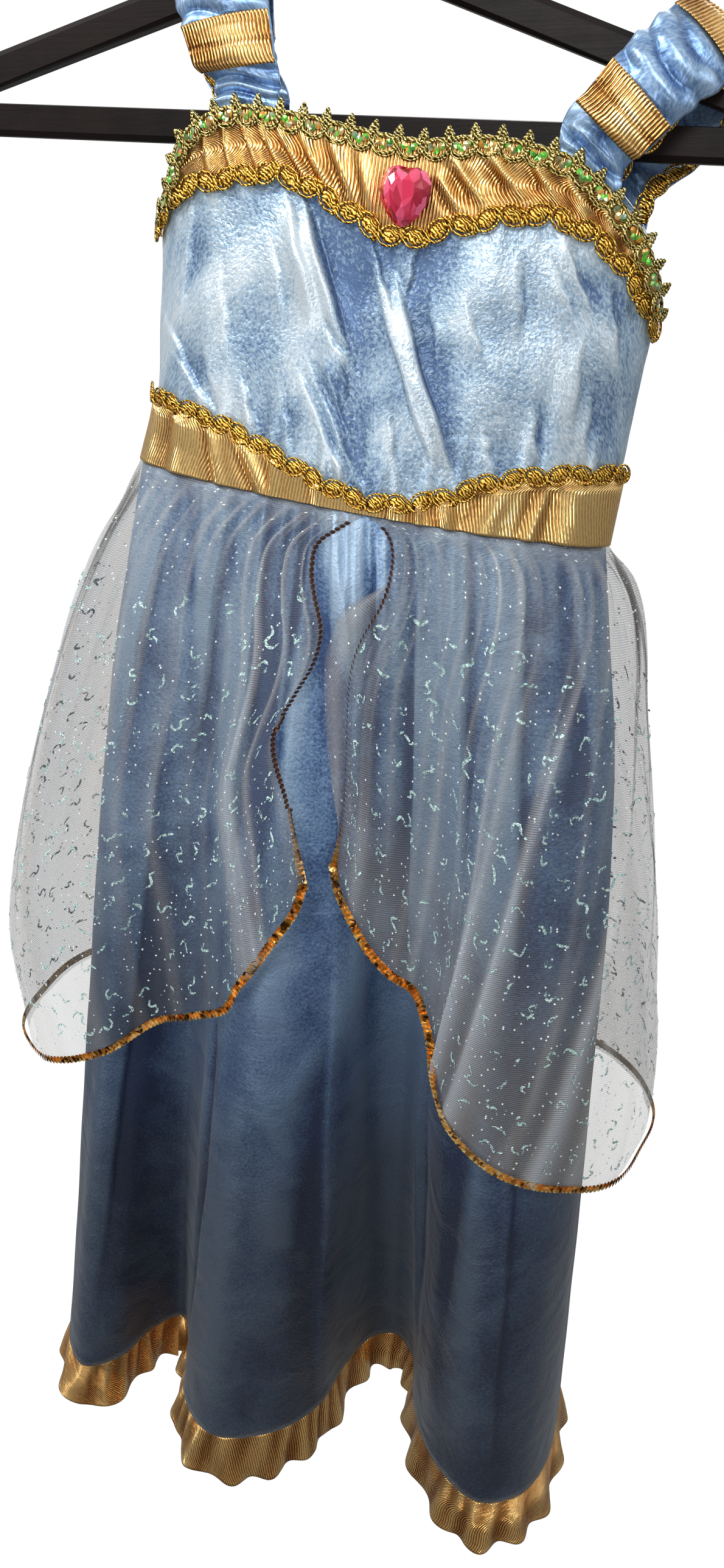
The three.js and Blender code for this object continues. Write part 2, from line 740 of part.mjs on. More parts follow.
// ---- straps ----
function strapSurface({ neckX, neckHalf, backX, route }) {
  const curve = new THREE.CatmullRomCurve3(
    route.map(({ x, y, z }) => new THREE.Vector3(x, y, z)),
    false,
    "centripetal",
  );
  const rows = route.map((row, i) => ({ ...row, at: i / (route.length - 1) }));
  const halfAt = reading(rows, "at", "half");
  const leanAt = reading(rows, "at", "lean");
  const turnOfX = (x, back) => {
    let low = back ? 1 : 0;
    let high = back ? 2 : 1;
    for (let i = 0; i < 40; i += 1) {
      const middle = (low + high) / 2;
      if (back ? xAt(middle) < x : xAt(middle) > x) high = middle;
      else low = middle;
    }
    return (low + high) / 2;
  };
  const atNeck = (u, edge, middleX, back) => {
    const x = middleX + u * neckHalf;
    return hang(bodice(turnOfX(x, back), edge(x) - GAP));
  };
  return (u, v) => {
    const at = clamp(v);
    const lean = THREE.MathUtils.degToRad(leanAt(at));
    const along = curve.getTangent(at);
    const width = new THREE.Vector3(Math.cos(lean), 0, Math.sin(lean));
    const out = new THREE.Vector3().crossVectors(width, along).normalize();
    const gathered = STRAP_BANDS.reduce((loose, { first, last }) => {
      const fromMiddle = Math.abs(at * STRAP.rows - (first + last) / 2) / ((last - first) / 2);
      return loose * (1 - ease(1.6 - fromMiddle));
    }, 1);
    const height = STRAP.crown * (1 - u * u) + STRAP.puff * gathered * (1 - u ** 4);
    const free = curve
      .getPoint(at)
      .addScaledVector(width, u * halfAt(at))
      .addScaledVector(out, height);
    free.addScaledVector(along, v - at);
    const back = v > 0.5;
    const fromEnd = back ? 1 - v : v;
    const sewn = 1 - ease((fromEnd - STRAP.sewn) / STRAP.join);
    if (sewn === 0) return free;
    const line = back ? backNeckline : neckline;
    const edge = (x) => line(x) - fromEnd * STRAP.length;
    return free.lerp(atNeck(u, edge, back ? backX : neckX, back), sewn);
  };
}

for (const [side, strap] of Object.entries(STRAPS)) {
  const surface = strapSurface(strap);
  const width = steps(STRAP.columns).map((k) => mix(-1, 1, k));
  add(
    `strap_${side}`,
    cloth(surface, width, steps(STRAP.rows), { thickness: SATIN, facing: -1 }),
    blueSatin,
  );
  STRAP_BANDS.forEach(({ first, last }, i) => {
    const us = width.map((u) => Math.sign(u) * Math.min(Math.abs(u), STRAP.bandHalf));
    const vs = steps(last - first).map((k) => mix(first, last, k) / STRAP.rows);
    const laid = { thickness: LAME, lift: ON_TOP + STRAP_BAND_ROOM, facing: -1 };
    add(`strap_${side}_band_${i + 1}`, cloth(surface, us, vs, laid), goldLame);
  });
}

// ---- skirt and its ruffle ----
const HEM_SEAM_TURN = 0.0003;
const skirtSurface = (first) => (k, v) => {
  const seam = mix(SEAM_TURN, HEM_SEAM_TURN, v);
  return hang(skirt(first + mix(seam, 1 - seam, k), mix(GAP / 2, SKIRT.length - GAP / 2, v)));
};
const spanFront = (count) => steps(count).map((k) => mix(HEM_SEAM_TURN, 1 - HEM_SEAM_TURN, k));
const spanBack = (count) => spanFront(count).map((turn) => 1 + turn);
const satinWall = { thickness: SATIN };
add("skirt_front", cloth(skirtSurface(0), steps(56), steps(8), satinWall), skirtSatin);
add("skirt_back", cloth(skirtSurface(1), steps(42), steps(5), satinWall), skirtSatin);

// The plan direction straight out from the hem.
function hemOut(turn) {
  const ahead = hemRing(turn + PROBE).sub(hemRing(turn - PROBE));
  return new THREE.Vector3(ahead.y, -ahead.x, 0).normalize();
}
function ruffleSurface(waves) {
  return (turn, v) => {
    const below = SKIRT.length + mix(GAP / 2, SKIRT.ruffle, v);
    const wave = (1 + Math.cos(2 * Math.PI * waves * turn)) / 2;
    const out = v * (RUFFLE.flare + RUFFLE.height * (wave - 0.5));
    const { x, y, drop } = skirt(turn, below);
    const aside = hemOut(turn);
    return hang({ x: x + aside.x * out, y: y + aside.y * out, drop });
  };
}
add(
  "hem_ruffle_front",
  cloth(
    ruffleSurface(RUFFLE.frontWaves),
    spanFront(RUFFLE.frontWaves * RUFFLE.columnsEach),
    steps(2),
    { thickness: LAME },
  ),
  goldLame,
);
add(
  "hem_ruffle_back",
  cloth(
    ruffleSurface(RUFFLE.backWaves),
    spanBack(RUFFLE.backWaves * RUFFLE.columnsEach),
    steps(2),
    { thickness: LAME },
  ),
  goldLame,
);

// ---- the petal overskirt ----
// Columns fan from the gathered waist to the hem; the front edge's wander dies away across it.
function petal(edgeRows, hemRows, direction) {
  const wrap = (turn) => (direction < 0 && turn > 1 ? turn - 2 : turn);
  const edge = edgeRows.map((row) => ({ drop: row.drop, turn: wrap(turnAt(row)) }));
  const edgeTurn = reading(edge, "drop", "turn");
  const MM_PER_TURN = 360;
  const hemLine = new THREE.CatmullRomCurve3(
    hemRows.map((row) => new THREE.Vector3(wrap(turnAt(row)) * MM_PER_TURN, row.drop, 0)),
    false,
    "centripetal",
  );
  hemLine.arcLengthDivisions = 1200;
  const corner = hemLine.getPointAt(0);
  const head = edge[0].turn;
  const behind = hemLine.getPointAt(1).x / MM_PER_TURN;
  return (s, v) => {
    const at = clamp(s);
    const foot = hemLine.getPointAt(at);
    const past = s - at;
    const straight = mix(mix(head, behind, s), foot.x / MM_PER_TURN + past, v);
    const cornerTurn = corner.x / MM_PER_TURN;
    const wander = edgeTurn(corner.y * clamp(v)) - mix(head, cornerTurn, clamp(v));
    const turn = straight + wander * clamp(1 - s) ** 4;
    const place = overskirt(turn, GAP / 2 + foot.y * v);
    const gather = (1 - Math.cos(2 * Math.PI * PETAL.gathers * s)) / 2;
    const held = ease(v / 0.12) * ease(s / 0.1) * mix(1, 0.45, clamp(v));
    const out = ON_TOP + PETAL.gatherHeight * gather * held;
    const lean = new THREE.Vector2(place.x / OVAL.half ** 2, place.y / OVAL.depth ** 2).normalize();
    return hang({ x: place.x + lean.x * out, y: place.y + lean.y * out, drop: place.drop });
  };
}

// The sequin edging: a narrow strip over the panel's edge, down the front and along the hem.
function edgingOf(surface, facing) {
  const start = 0.02; // just below the waist seam
  const perShare = (s, v, ds, dv) =>
    surface(s, v).distanceTo(surface(s + ds, v + dv)) / Math.hypot(ds, dv);
  const sideInset = (v) => PETAL.edging / perShare(0, v, start, 0);
  const hemInset = (s) => PETAL.edging / perShare(s, 1, 0, -start);
  const down = PETAL_ROWS.map((v) => Math.max(v, start));
  const along = steps(PETAL.gathers * PETAL.columnsEach).slice(1);
  const path = [
    ...down.map((v) => ({ s: 0, v, inS: sideInset(v), inV: Math.min(v, 1 - hemInset(0)) })),
    ...along.map((k) => {
      const s = k * (1 - PETAL.parting);
      return { s, v: 1, inS: Math.max(s, sideInset(1)), inV: 1 - hemInset(s) };
    }),
  ];
  const grid = (height) =>
    ["edge", "inset"].map((row) =>
      path.map(({ s, v, inS, inV }) => {
        const at = row === "edge" ? [s, v] : [inS, inV];
        return surface(...at).addScaledVector(normalAt(surface, ...at, facing), height);
      }),
    );
  return wallBetween(grid(ON_TOP + PUFF_ROOM), grid(GAP + PUFF_ROOM), -facing);
}

for (const [side, edgeRows, hemRows, facing] of [
  ["left", LEFT_EDGE, LEFT_HEM, -1],
  ["right", RIGHT_EDGE, RIGHT_HEM, 1],
]) {
  const surface = petal(edgeRows, hemRows, facing);
  const columns = steps(PETAL.gathers * PETAL.columnsEach).map((s) => s * (1 - PETAL.parting));
  add(
    `overlay_${side}`,
    cloth(surface, columns, PETAL_ROWS, { thickness: ORGANZA, facing }),
    glitterOrganza,
  );
  add(`edging_${side}`, edgingOf(surface, facing), copperSequin);
}

// Braid down each strap's outer edge.
for (const [side, strap] of Object.entries(STRAPS)) {
  const surface = strapSurface(strap);
  const { inner, outer, from, to, scallops, waist } = STRAP_BRAID;
  const us = strap.outer < 0 ? [-outer, -inner] : [inner, outer];
  const vs = steps(scallops * 2).map((k) => mix(from, to, k));
  const swell = (v) => Math.abs(Math.sin((Math.PI * scallops * (v - from)) / (to - from)));
  const scalloped = (u, v) => {
    const middle = (us[0] + us[1]) / 2;
    return surface(middle + (u - middle) * mix(waist, 1, swell(v)), v);
  };
  add(
    `strap_${side}_braid`,
    cloth(scalloped, us, vs, { thickness: BRAID, lift: ON_BAND + PUFF_ROOM, facing: -1 }),
    goldBraid,
  );
}

export default dress;
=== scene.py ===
import math

import bpy
import numpy as np
from mathutils import Matrix, Vector


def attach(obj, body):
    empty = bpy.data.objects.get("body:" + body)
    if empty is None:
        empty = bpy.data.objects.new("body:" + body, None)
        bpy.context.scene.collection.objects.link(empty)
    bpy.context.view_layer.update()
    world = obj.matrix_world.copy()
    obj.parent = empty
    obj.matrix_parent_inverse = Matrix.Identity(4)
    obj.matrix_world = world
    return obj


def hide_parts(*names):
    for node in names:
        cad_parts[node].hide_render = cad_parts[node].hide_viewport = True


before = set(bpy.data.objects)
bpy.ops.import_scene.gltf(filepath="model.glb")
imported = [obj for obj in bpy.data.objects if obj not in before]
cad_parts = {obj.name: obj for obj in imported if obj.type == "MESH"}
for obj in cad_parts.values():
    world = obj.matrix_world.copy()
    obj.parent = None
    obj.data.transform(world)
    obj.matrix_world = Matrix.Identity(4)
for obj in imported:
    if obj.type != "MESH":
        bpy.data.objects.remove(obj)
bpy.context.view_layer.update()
bpy.ops.object.select_all(action="DESELECT")

# ---- Camera ----
# The dress is seen from a little above and a little to its right, from about half a metre.
camera_data = bpy.data.cameras.new("camera")
camera_data.lens = 27.04
camera_data.sensor_width = 36
camera = bpy.data.objects.new("camera", camera_data)
camera.location = (0.168245, -0.568005, -0.20007)
camera.rotation_euler = (math.radians(66.6), 0, math.radians(16))
bpy.context.collection.objects.link(camera)
bpy.context.scene.camera = camera


# ---- Hanger ----
# A moulded black-brown plastic hanger. Its arms and bar come out of the mould with flat
# faces and soft bevels, a faint flow texture and fine scratches from the wardrobe rail.
def paint(red, green, blue):
    """A screen colour, 0 to 255, as the linear colour that a socket takes."""
    share = np.array([red, green, blue]) / 255
    linear = np.where(share <= 0.04045, share / 12.92, ((share + 0.055) / 1.055) ** 2.4)
    return (*linear.tolist(), 1.0)


def add_node(finish, kind, sockets=(), **options):
    """A node with its options set and each socket given a value or joined to another node."""
    tree = finish.node_tree
    made = tree.nodes.new("ShaderNode" + kind)
    for option, value in options.items():
        setattr(made, option, value)
    for socket, value in dict(sockets).items():
        if isinstance(value, bpy.types.NodeSocket):
            tree.links.new(value, made.inputs[socket])
        else:
            made.inputs[socket].default_value = value
    return made


def new_finish(name, **sockets):
    """A material, with the constants of its surface set by name (underscores for spaces)."""
    finish = bpy.data.materials.new(name)
    finish.use_nodes = True
    surface = finish.node_tree.nodes["Principled BSDF"]
    for socket, value in sockets.items():
        surface.inputs[socket.replace("_", " ")].default_value = value
    return finish


def feed(finish, socket, output):
    """A node's output, joined to a socket of the material's surface."""
    surface = finish.node_tree.nodes["Principled BSDF"]
    finish.node_tree.links.new(output, surface.inputs[socket])


def where_on(finish, kind="Object"):
    """What a pattern is laid by: a place on the dress, or a cloth's own weave."""
    return add_node(finish, "TexCoord").outputs[kind]


def stretched(finish, where, scale):
    return add_node(finish, "Mapping", {"Vector": where, "Scale": scale}).outputs[0]


def noise(finish, where, scale, detail=3.0, roughness=0.5, distortion=0.0):
    sockets = {"Vector": where, "Scale": scale, "Detail": detail}
    sockets |= {"Roughness": roughness, "Distortion": distortion}
    return add_node(finish, "TexNoise", sockets).outputs["Fac"]


def remap(finish, value, low, high, start=0.0, end=1.0, **options):
    """A value that runs from start to end, made to run from low to high."""
    sockets = {"Value": value, "From Min": start, "From Max": end, "To Min": low, "To Max": high}
    return add_node(finish, "MapRange", sockets, **options).outputs[0]


def ramp(finish, factor, *stops):
    """Colours mixed along a factor, from (place, screen colour) stops."""
    made = add_node(finish, "ValToRGB", {"Fac": factor})
    while len(made.color_ramp.elements) < len(stops):
        made.color_ramp.elements.new(0.5)
    for element, (place, colour) in zip(made.color_ramp.elements, stops):
        element.position = place
        element.color = paint(*colour)
    return made.outputs["Color"]


def bump(finish, height, distance, strength=1.0, under=None):
    """A relief, of so many metres, on a surface; under is a relief that it rides on."""
    sockets = {"Height": height, "Distance": distance, "Strength": strength}
    if under is not None:
        sockets["Normal"] = under
    relief = add_node(finish, "Bump", sockets).outputs["Normal"]
    feed(finish, "Normal", relief)
    return relief


plastic = new_finish("hanger plastic", Roughness=0.4, Specular_IOR_Level=0.16)
place = where_on(plastic)
flow = noise(plastic, place, 55, 4, 0.6)
feed(plastic, "Base Color", ramp(plastic, flow, (0.3, (13, 8, 7)), (0.7, (26, 17, 14))))
scuffed = noise(plastic, stretched(plastic, place, (12, 400, 400)), 3, 2)
feed(plastic, "Roughness", remap(plastic, scuffed, 0.34, 0.52))
grain = bump(plastic, noise(plastic, place, 900, 2), 0.00008, 0.5)
bump(plastic, scuffed, 0.00006, 0.6, grain)
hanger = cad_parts["hanger"]
hanger.data.materials.clear()
hanger.data.materials.append(plastic)

# ---- Hook ----
# A chromed steel wire, bent to an open hook with a plain cut end, pressed into the boss.
HOOK_ROUTE = [
    (0, -55.6), (0, -48), (3, -41.5), (14, -33), (19.9, -18), (14.2, -3.9),
    (0, 1.9), (-14.2, -3.9), (-19.4, -15), (-20.5, -24),
]  # fmt: skip
HOOK_RADIUS, HOOK_STEPS, HOOK_SIDES = 1.9, 120, 20
HANGER_TILT = math.radians(3.3)
SPAN_STEPS = 60  # steps between two points of a smooth line


def through(points, closed=False):
    """A smooth line through points, and each of its steps' share of its length."""
    points = np.array(points, float)
    if closed:
        held = np.vstack([points[-1:], points, points[:2]])
    else:
        held = np.vstack([2 * points[0] - points[1], points, 2 * points[-1] - points[-2]])
    k = np.arange(SPAN_STEPS)[:, None] / SPAN_STEPS
    spans = []
    for a, b, c, d in zip(held, held[1:], held[2:], held[3:]):
        ab, bc, cd = (np.linalg.norm(q - p) ** 0.5 for p, q in ((a, b), (b, c), (c, d)))
        leave = ((b - a) / ab - (c - a) / (ab + bc) + (c - b) / bc) * bc
        reach = ((c - b) / bc - (d - b) / (bc + cd) + (d - c) / cd) * bc
        spans.append(
            b
            + leave * k
            + (3 * (c - b) - 2 * leave - reach) * k**2
            + (2 * (b - c) + leave + reach) * k**3
        )
    line = np.vstack([*spans, held[-2:-1]])
    length = np.concatenate([[0], np.cumsum(np.linalg.norm(np.diff(line, axis=0), axis=1))])
    return line, length / length[-1]


def pick(line, keys, where):
    """Points of a line at the given values of its keys."""
    return np.stack([np.interp(where, keys, column) for column in line.T], axis=-1)


def unit(vectors):
    return vectors / np.linalg.norm(vectors, axis=-1, keepdims=True)


def shown(name, data, finish, slot, *nodes):
    """An object for a finished mesh, which rides on the dress and stands for its CAD nodes."""
    made = bpy.data.objects.new(name, data)
    bpy.context.collection.objects.link(made)
    data.materials.clear()
    data.materials.append(finish)
    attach(made, "root")
    if nodes:
        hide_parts(*nodes)
    return made


def net(name, grid, close_round=False, caps=False):
    """A mesh over a grid of points in millimetres, rows by columns."""
    rows, columns = grid.shape[:2]
    index = np.arange(rows * columns).reshape(rows, columns)
    if close_round:
        index = np.hstack([index, index[:, :1]])
    corners = [index[:-1, :-1], index[1:, :-1], index[1:, 1:], index[:-1, 1:]]
    faces = np.stack(corners, axis=-1).reshape(-1, 4).tolist()
    if caps:
        faces += [index[0, :-1].tolist(), index[-1, :-1][::-1].tolist()]
    data = bpy.data.meshes.new(name)
    data.from_pydata((grid.reshape(-1, 3) / 1000).tolist(), [], faces)
    data.shade_smooth()
    return data


def wire(route, radius, sides):
    """A round tube in the plane y = 0, along a route of (x, z)."""
    along = unit(np.gradient(route, axis=0))
    aside = np.stack([-along[:, 1], along[:, 0]], axis=-1)
    angle = 2 * np.pi * np.arange(sides) / sides
    flat = route[:, None] + aside[:, None] * (radius * np.cos(angle))[None, :, None]
    deep = np.broadcast_to(radius * np.sin(angle), flat.shape[:2])
    return np.stack([flat[..., 0], deep, flat[..., 1]], axis=-1)


hook_line = pick(*through(HOOK_ROUTE), np.linspace(0, 1, HOOK_STEPS))
tilt = np.array(Matrix.Rotation(HANGER_TILT, 3, "Y"))
hook_grid = wire(hook_line, HOOK_RADIUS, HOOK_SIDES) @ tilt.T
chrome = new_finish("hook chrome", Metallic=1.0, Roughness=0.18)
dulled = noise(chrome, where_on(chrome), 260, 3)
feed(chrome, "Base Color", ramp(chrome, dulled, (0.3, (170, 170, 174)), (0.7, (214, 214, 218))))
bump(chrome, dulled, 0.00004, 0.4)
hook = net("hook_wire", hook_grid, close_round=True, caps=True)
shown("hook_wire", hook, chrome, "hook_wire", "hanger_hook")

# ---- Bodice front ----
# Pale blue crushed satin, cut a little full and gathered into the waist, so that long soft
# folds and short creases run down it from under the neck band.
DRESS_AT = (28.25, -145.35)
BODICE_LEAN, SKIRT_LEAN, HEM_TILT = map(math.radians, (7.5, 4.2, 5))
BODICE_LENGTH, BODICE_HALF, SKIRT_LENGTH = 158, 119, 590
FRONT_DEPTH, FRONT_SWELL, BACK_DEPTH, BACK_SWELL = 26, 8, 20, 6
SEAM_GAP = 0.15  # left open at a seam, so that two cloths don't lie in one another
SIDE_GAP = 0.0009  # the same at a side seam, as a share of half the girth
LEFT_SIDE = [(-10, 0.985), (45, 0.965), (125, 0.95), (158, 1)]
NECKLINE = [
    (-119, 47), (-113, 36), (-105, 15), (-89, 2.4), (-71, -2.6), (-42, -1.7), (8, 2.5),
    (38, -2), (63, -0.5), (79, 4.2), (105, 24), (116, 42), (119, 55),
]  # fmt: skip
# Each fold runs from (x, drop) to (x, drop), so wide and so high.
LONG_FOLDS = [
    (-42, 36, -25, 82, 5, 2.4),
    (-34, 38, -5, 94, 6, 2.6),
    (-22, 84, 1, 142, 5, 2.2),
    (1, 60, 44, 132, 7, 3),
    (96, 60, 90, 124, 7, 2),
    (-92, 60, -78, 122, 8, 1.6),
]
# Tucks in between: the cloth stands up on the left of each line and falls away on its right.
TUCKS = [
    (-49, 22, -26, 71, 9, 1.5),
    (-40, 26, -5, 94, 15, 3.0),
    (-31, 100, 1, 148, 8, 1.6),
    (-26, 97, 8, 148, 7, 1.9),
    (-17, 98, 3, 134, 5, 1.1),
    (-22, 79, -4, 97, 4, 1.1),
    (-1, 58, 37, 133, 7, -1.3),
    (9, 57, 50, 140, 10, 2.6),
    (77, 32, 95, 60, 6, 1.6),
    (73, 40, 90, 66, 5, 1.1),
    (99, 46, 111, 82, 6, 1.4),
    (77, 98, 84, 128, 6, 1.4),
    (101, 90, 103, 124, 5, 1.5),
    (92, 64, 96, 112, 9, 1.2),
    (-106, 102, -72, 127, 4, 1.1),
    (-114, 84, -86, 120, 4, 1.1),
    (-86, 98, -76, 122, 5, -1.1),
    (-62, 106, -50, 132, 6, 1.2),
    (-5, 42, 9, 69, 6, 1.4),
    (16, 40, 14, 64, 7, 1.0),
    (58, 112, 66, 134, 5, 1.2),
    (-96, 40, -100, 84, 7, 1.1),
    (-34, 34, -20, 66, 4, 1.0),
    (-52, 44, -42, 78, 5, 0.9),
    (-12, 94, -2, 118, 4, 1.0),
    (-40, 108, -30, 138, 4, 0.9),
    (24, 62, 32, 92, 5, -0.9),
    (40, 60, 52, 84, 8, 0.9),
    (60, 40, 66, 74, 8, 0.8),
    (-78, 60, -70, 100, 9, 0.8),
    (14, 112, 24, 146, 5, 1.0),
    (-8, 126, -2, 149, 3, 0.9),
]


def mix(a, b, k):
    return a + (b - a) * k


def ease(v):
    held = np.clip(v, 0, 1)
    return held**2 * (3 - 2 * held)


def reading(table):
    """A smooth reading of a table of (at, value), running straight on past its ends."""
    at, value = np.array(table, float).T
    slope = np.empty_like(value)
    slope[1:-1] = (value[2:] - value[:-2]) / (at[2:] - at[:-2])
    slope[0] = (value[1] - value[0]) / (at[1] - at[0])
    slope[-1] = (value[-1] - value[-2]) / (at[-1] - at[-2])

    def read(x):
        i = np.clip(np.searchsorted(at, x) - 1, 0, len(at) - 2)
        span = at[i + 1] - at[i]
        k = (np.asarray(x, float) - at[i]) / span
        inside = np.clip(k, 0, 1)
        back = 1 - inside
        return (
            value[i] * (1 + 2 * inside) * back**2
            + slope[i] * span * inside * back**2
            + value[i + 1] * inside**2 * (3 - 2 * inside)
            - slope[i + 1] * span * inside**2 * back
            + slope[i] * span * np.minimum(k, 0)
            + slope[i + 1] * span * np.maximum(k - 1, 0)
        )

    return read


def hang(x, y, drop):
    """A place in the dress, drop below the neckline along its own middle line, where it hangs."""
    x, y, drop = np.broadcast_arrays(x, y, drop)
    above = np.minimum(drop, BODICE_LENGTH)
    below = np.maximum(0, drop - BODICE_LENGTH)
    turned = mix(BODICE_LEAN, HEM_TILT, np.clip(below / SKIRT_LENGTH, 0, 1))
    across = DRESS_AT[0] - math.sin(BODICE_LEAN) * above - math.sin(SKIRT_LEAN) * below
    height = DRESS_AT[1] - math.cos(BODICE_LEAN) * above - math.cos(SKIRT_LEAN) * below
    return np.stack([across + x * np.cos(turned), y, height - x * np.sin(turned)], axis=-1)


def beside(lines, x, drop):
    """For each row of a table: the share along its line, the distance aside, and its values."""
    for fx, fd, tx, td, width, height in lines:
        dx, dd = tx - fx, td - fd
        along = ((x - fx) * dx + (drop - fd) * dd) / (dx * dx + dd * dd)
        aside = ((x - fx) * dd - (drop - fd) * dx) / math.hypot(dx, dd)
        yield along, aside, fx, width, height


def fold_relief(folds, x, drop, hollow=0.0):
    """How far the folds stand out at a place; hollow is the valley's share on their left."""
    stands = np.zeros(np.broadcast(x, drop).shape)
    for along, aside, _, width, height in beside(folds, x, drop):
        shape = np.exp(-((aside / width) ** 2))
        shape = shape - hollow * np.exp(-(((aside + 1.5 * width) / width) ** 2))
        stands += height * np.sin(np.pi * np.clip(along, 0, 1)) * shape
    return stands


def tuck_relief(tucks, x, drop):
    """How far the cloth stands out, or lies back, beside the tucks."""
    stands = np.zeros(np.broadcast(x, drop).shape)
    for along, aside, start, width, height in beside(tucks, x, drop):
        waver = np.sin(4 * np.pi * along + start) * np.sin(np.pi * np.clip(along, 0, 1))
        aside = aside + 0.6 * waver
        step = -np.tanh(aside / 0.8) * np.exp(-np.abs(aside) / width)
        ends = np.sin(np.pi * np.clip((along + 0.12) / 1.24, 0, 1)) ** 1.5
        stands += height * step * ends
    return stands


def turn_angle(turn):
    return np.pi * (turn + 0.09 * np.sin(2 * np.pi * turn))


def bodice_x(turn):
    return -BODICE_HALF * np.cos(turn_angle(turn))


left_side = reading(LEFT_SIDE)


def bodice(turn, drop):
    """The flat oval tube of the bodice: turn runs 0 to 1 across the front, 1 to 2 behind."""
    side = np.sin(turn_angle(turn))
    down = np.clip(drop / BODICE_LENGTH, 0, 1)
    depth = np.where(side > 0, FRONT_DEPTH + FRONT_SWELL * down, BACK_DEPTH + BACK_SWELL * down)
    x = bodice_x(turn)
    relief = np.where(side > 0, fold_relief(LONG_FOLDS, x, drop) * side, 0)
    drawn_in = mix(1, left_side(drop), np.clip(-x / BODICE_HALF, 0, 1))
    return x * drawn_in, -depth * side - relief


def normals(grid):
    """The way out of a cloth at each point of its grid."""
    return unit(np.cross(np.gradient(grid, axis=0), np.gradient(grid, axis=1)))


def stand(grid, height):
    """The grid moved out along its own normals."""
    return grid + normals(grid) * np.broadcast_to(height, grid.shape[:2])[..., None]


def sew(name, grid, finish, slot, *nodes, thickness=0.5, painted_shading=None):
    """A cloth panel over a grid in millimetres, its weave following the cloth in its UV map.

    Painted shading is how light the cloth is painted at each point, mostly by how high it lies:
    painted shade at 0 in a hollow, painted highlight at 1 on a ridge.
    """
    data = net(name, grid)
    steps_across = np.linalg.norm(np.diff(grid, axis=1), axis=-1)
    steps_down = np.linalg.norm(np.diff(grid, axis=0), axis=-1)
    across = np.pad(np.cumsum(steps_across, axis=1), ((0, 0), (1, 0)))
    across = across - across[:, grid.shape[1] // 2][:, None]
    down = np.pad(np.cumsum(steps_down, axis=0), ((1, 0), (0, 0)))
    weave = np.stack([across, -down], axis=-1).reshape(-1, 2) / 1000
    used = np.empty(len(data.loops), int)
    data.loops.foreach_get("vertex_index", used)
    data.uv_layers.new(name="weave").data.foreach_set("uv", weave[used].ravel())
    if painted_shading is not None:
        held = np.broadcast_to(np.clip(painted_shading, 0, 1), grid.shape[:2]).ravel().astype(np.float32)
        data.attributes.new("painted_shading", "FLOAT", "POINT").data.foreach_set("value", held)
    made = shown(name, data, finish, slot, *nodes)
    wall = made.modifiers.new("cloth", "SOLIDIFY")
    wall.thickness = thickness / 1000
    wall.offset = -1
    bpy.context.view_layer.objects.active = made
    bpy.ops.object.modifier_apply(modifier=wall.name)
    return made


def blended(finish, share, first, second):
    return add_node(finish, "Mix", {0: share, 2: first, 3: second}).outputs[0]


def worked(finish, operation, first, second):
    return add_node(finish, "Math", {0: first, 1: second}, operation=operation).outputs[0]


def banding(finish, where, scale, distortion, direction, detail=1.0, detail_scale=1.0):
    """Threads, ribs or twists that run across one direction."""
    sockets = {"Vector": where, "Scale": scale, "Distortion": distortion}
    sockets |= {"Detail": detail, "Detail Scale": detail_scale}
    return add_node(finish, "TexWave", sockets, bands_direction=direction).outputs["Fac"]


# The cloth's painted shading, read from an attribute of its mesh.
def read_painted_shading(finish):
    return add_node(finish, "Attribute", attribute_name="painted_shading").outputs["Fac"]


def with_painted_shading(finish, tone, painted_shade_depth):
    """A tone with painted shade in the hollows of the cloth and painted highlight on its ridges.
    """
    return worked(finish, "ADD", tone, remap(finish, read_painted_shading(finish), -painted_shade_depth, painted_shade_depth))


def satin(name, dark, mid, light, gloss, crush, painted_shade_depth=0.1):
    """Woven satin: cloudy and finely speckled, with soft dents, painted shade in its hollows and
    painted highlight on its ridges.
    """
    finish = new_finish(
        name,
        Roughness=0.5 - 0.16 * gloss,
        Metallic=0.4 * gloss,
        Specular_IOR_Level=0.5,
        Sheen_Weight=0.15,
        Sheen_Roughness=0.4,
    )
    weave = where_on(finish, "UV")
    clouds = noise(finish, weave, 34, 3, 0.55, 0.6)
    speckle = noise(finish, weave, 620, 1, 0.5, 0.6)
    # Painted shade and painted highlight from the folds move the tone between the dark and light
    # colours.
    tone = with_painted_shading(finish, blended(finish, 0.45, clouds, speckle), painted_shade_depth)
    colour = ramp(finish, tone, (0.3, dark), (0.47, mid), (0.68, light))
    feed(finish, "Base Color", colour)
    dents = bump(finish, noise(finish, weave, 30, 3, 0.45, 1.2), 0.0026 * crush, 0.7)
    pebbled = bump(finish, speckle, 0.0005 * crush, 0.8, dents)
    bump(finish, banding(finish, weave, 900, 1.5, "Y"), 0.00003, 0.5, pebbled)
    return finish, colour


def waist_seam(x):
    return BODICE_LENGTH - SEAM_GAP + 0 * x


def bodice_panel(first, top, foot, columns, rows):
    """A grid over the bodice between two edges, from turn first, and where its points lie.

    With the grid come x, drop, the share of the way down, and how far in from the sides.
    """
    turn = first + np.linspace(SIDE_GAP, 1 - SIDE_GAP, columns)[None, :]
    x = bodice_x(turn)
    down = np.linspace(0, 1, rows)[:, None]
    drop = mix(top(x), foot(x), down)
    across, depth = bodice(turn, drop)
    return hang(across, depth, drop), x, drop, down, np.abs(np.sin(turn_angle(turn)))


neckline = reading(NECKLINE)
pale_satin, _ = satin(
    "pale blue satin",
    (80, 106, 144),
    (150, 174, 194),
    (204, 216, 224),
    gloss=1.1,
    crush=0.7,
    painted_shade_depth=0.16,
)
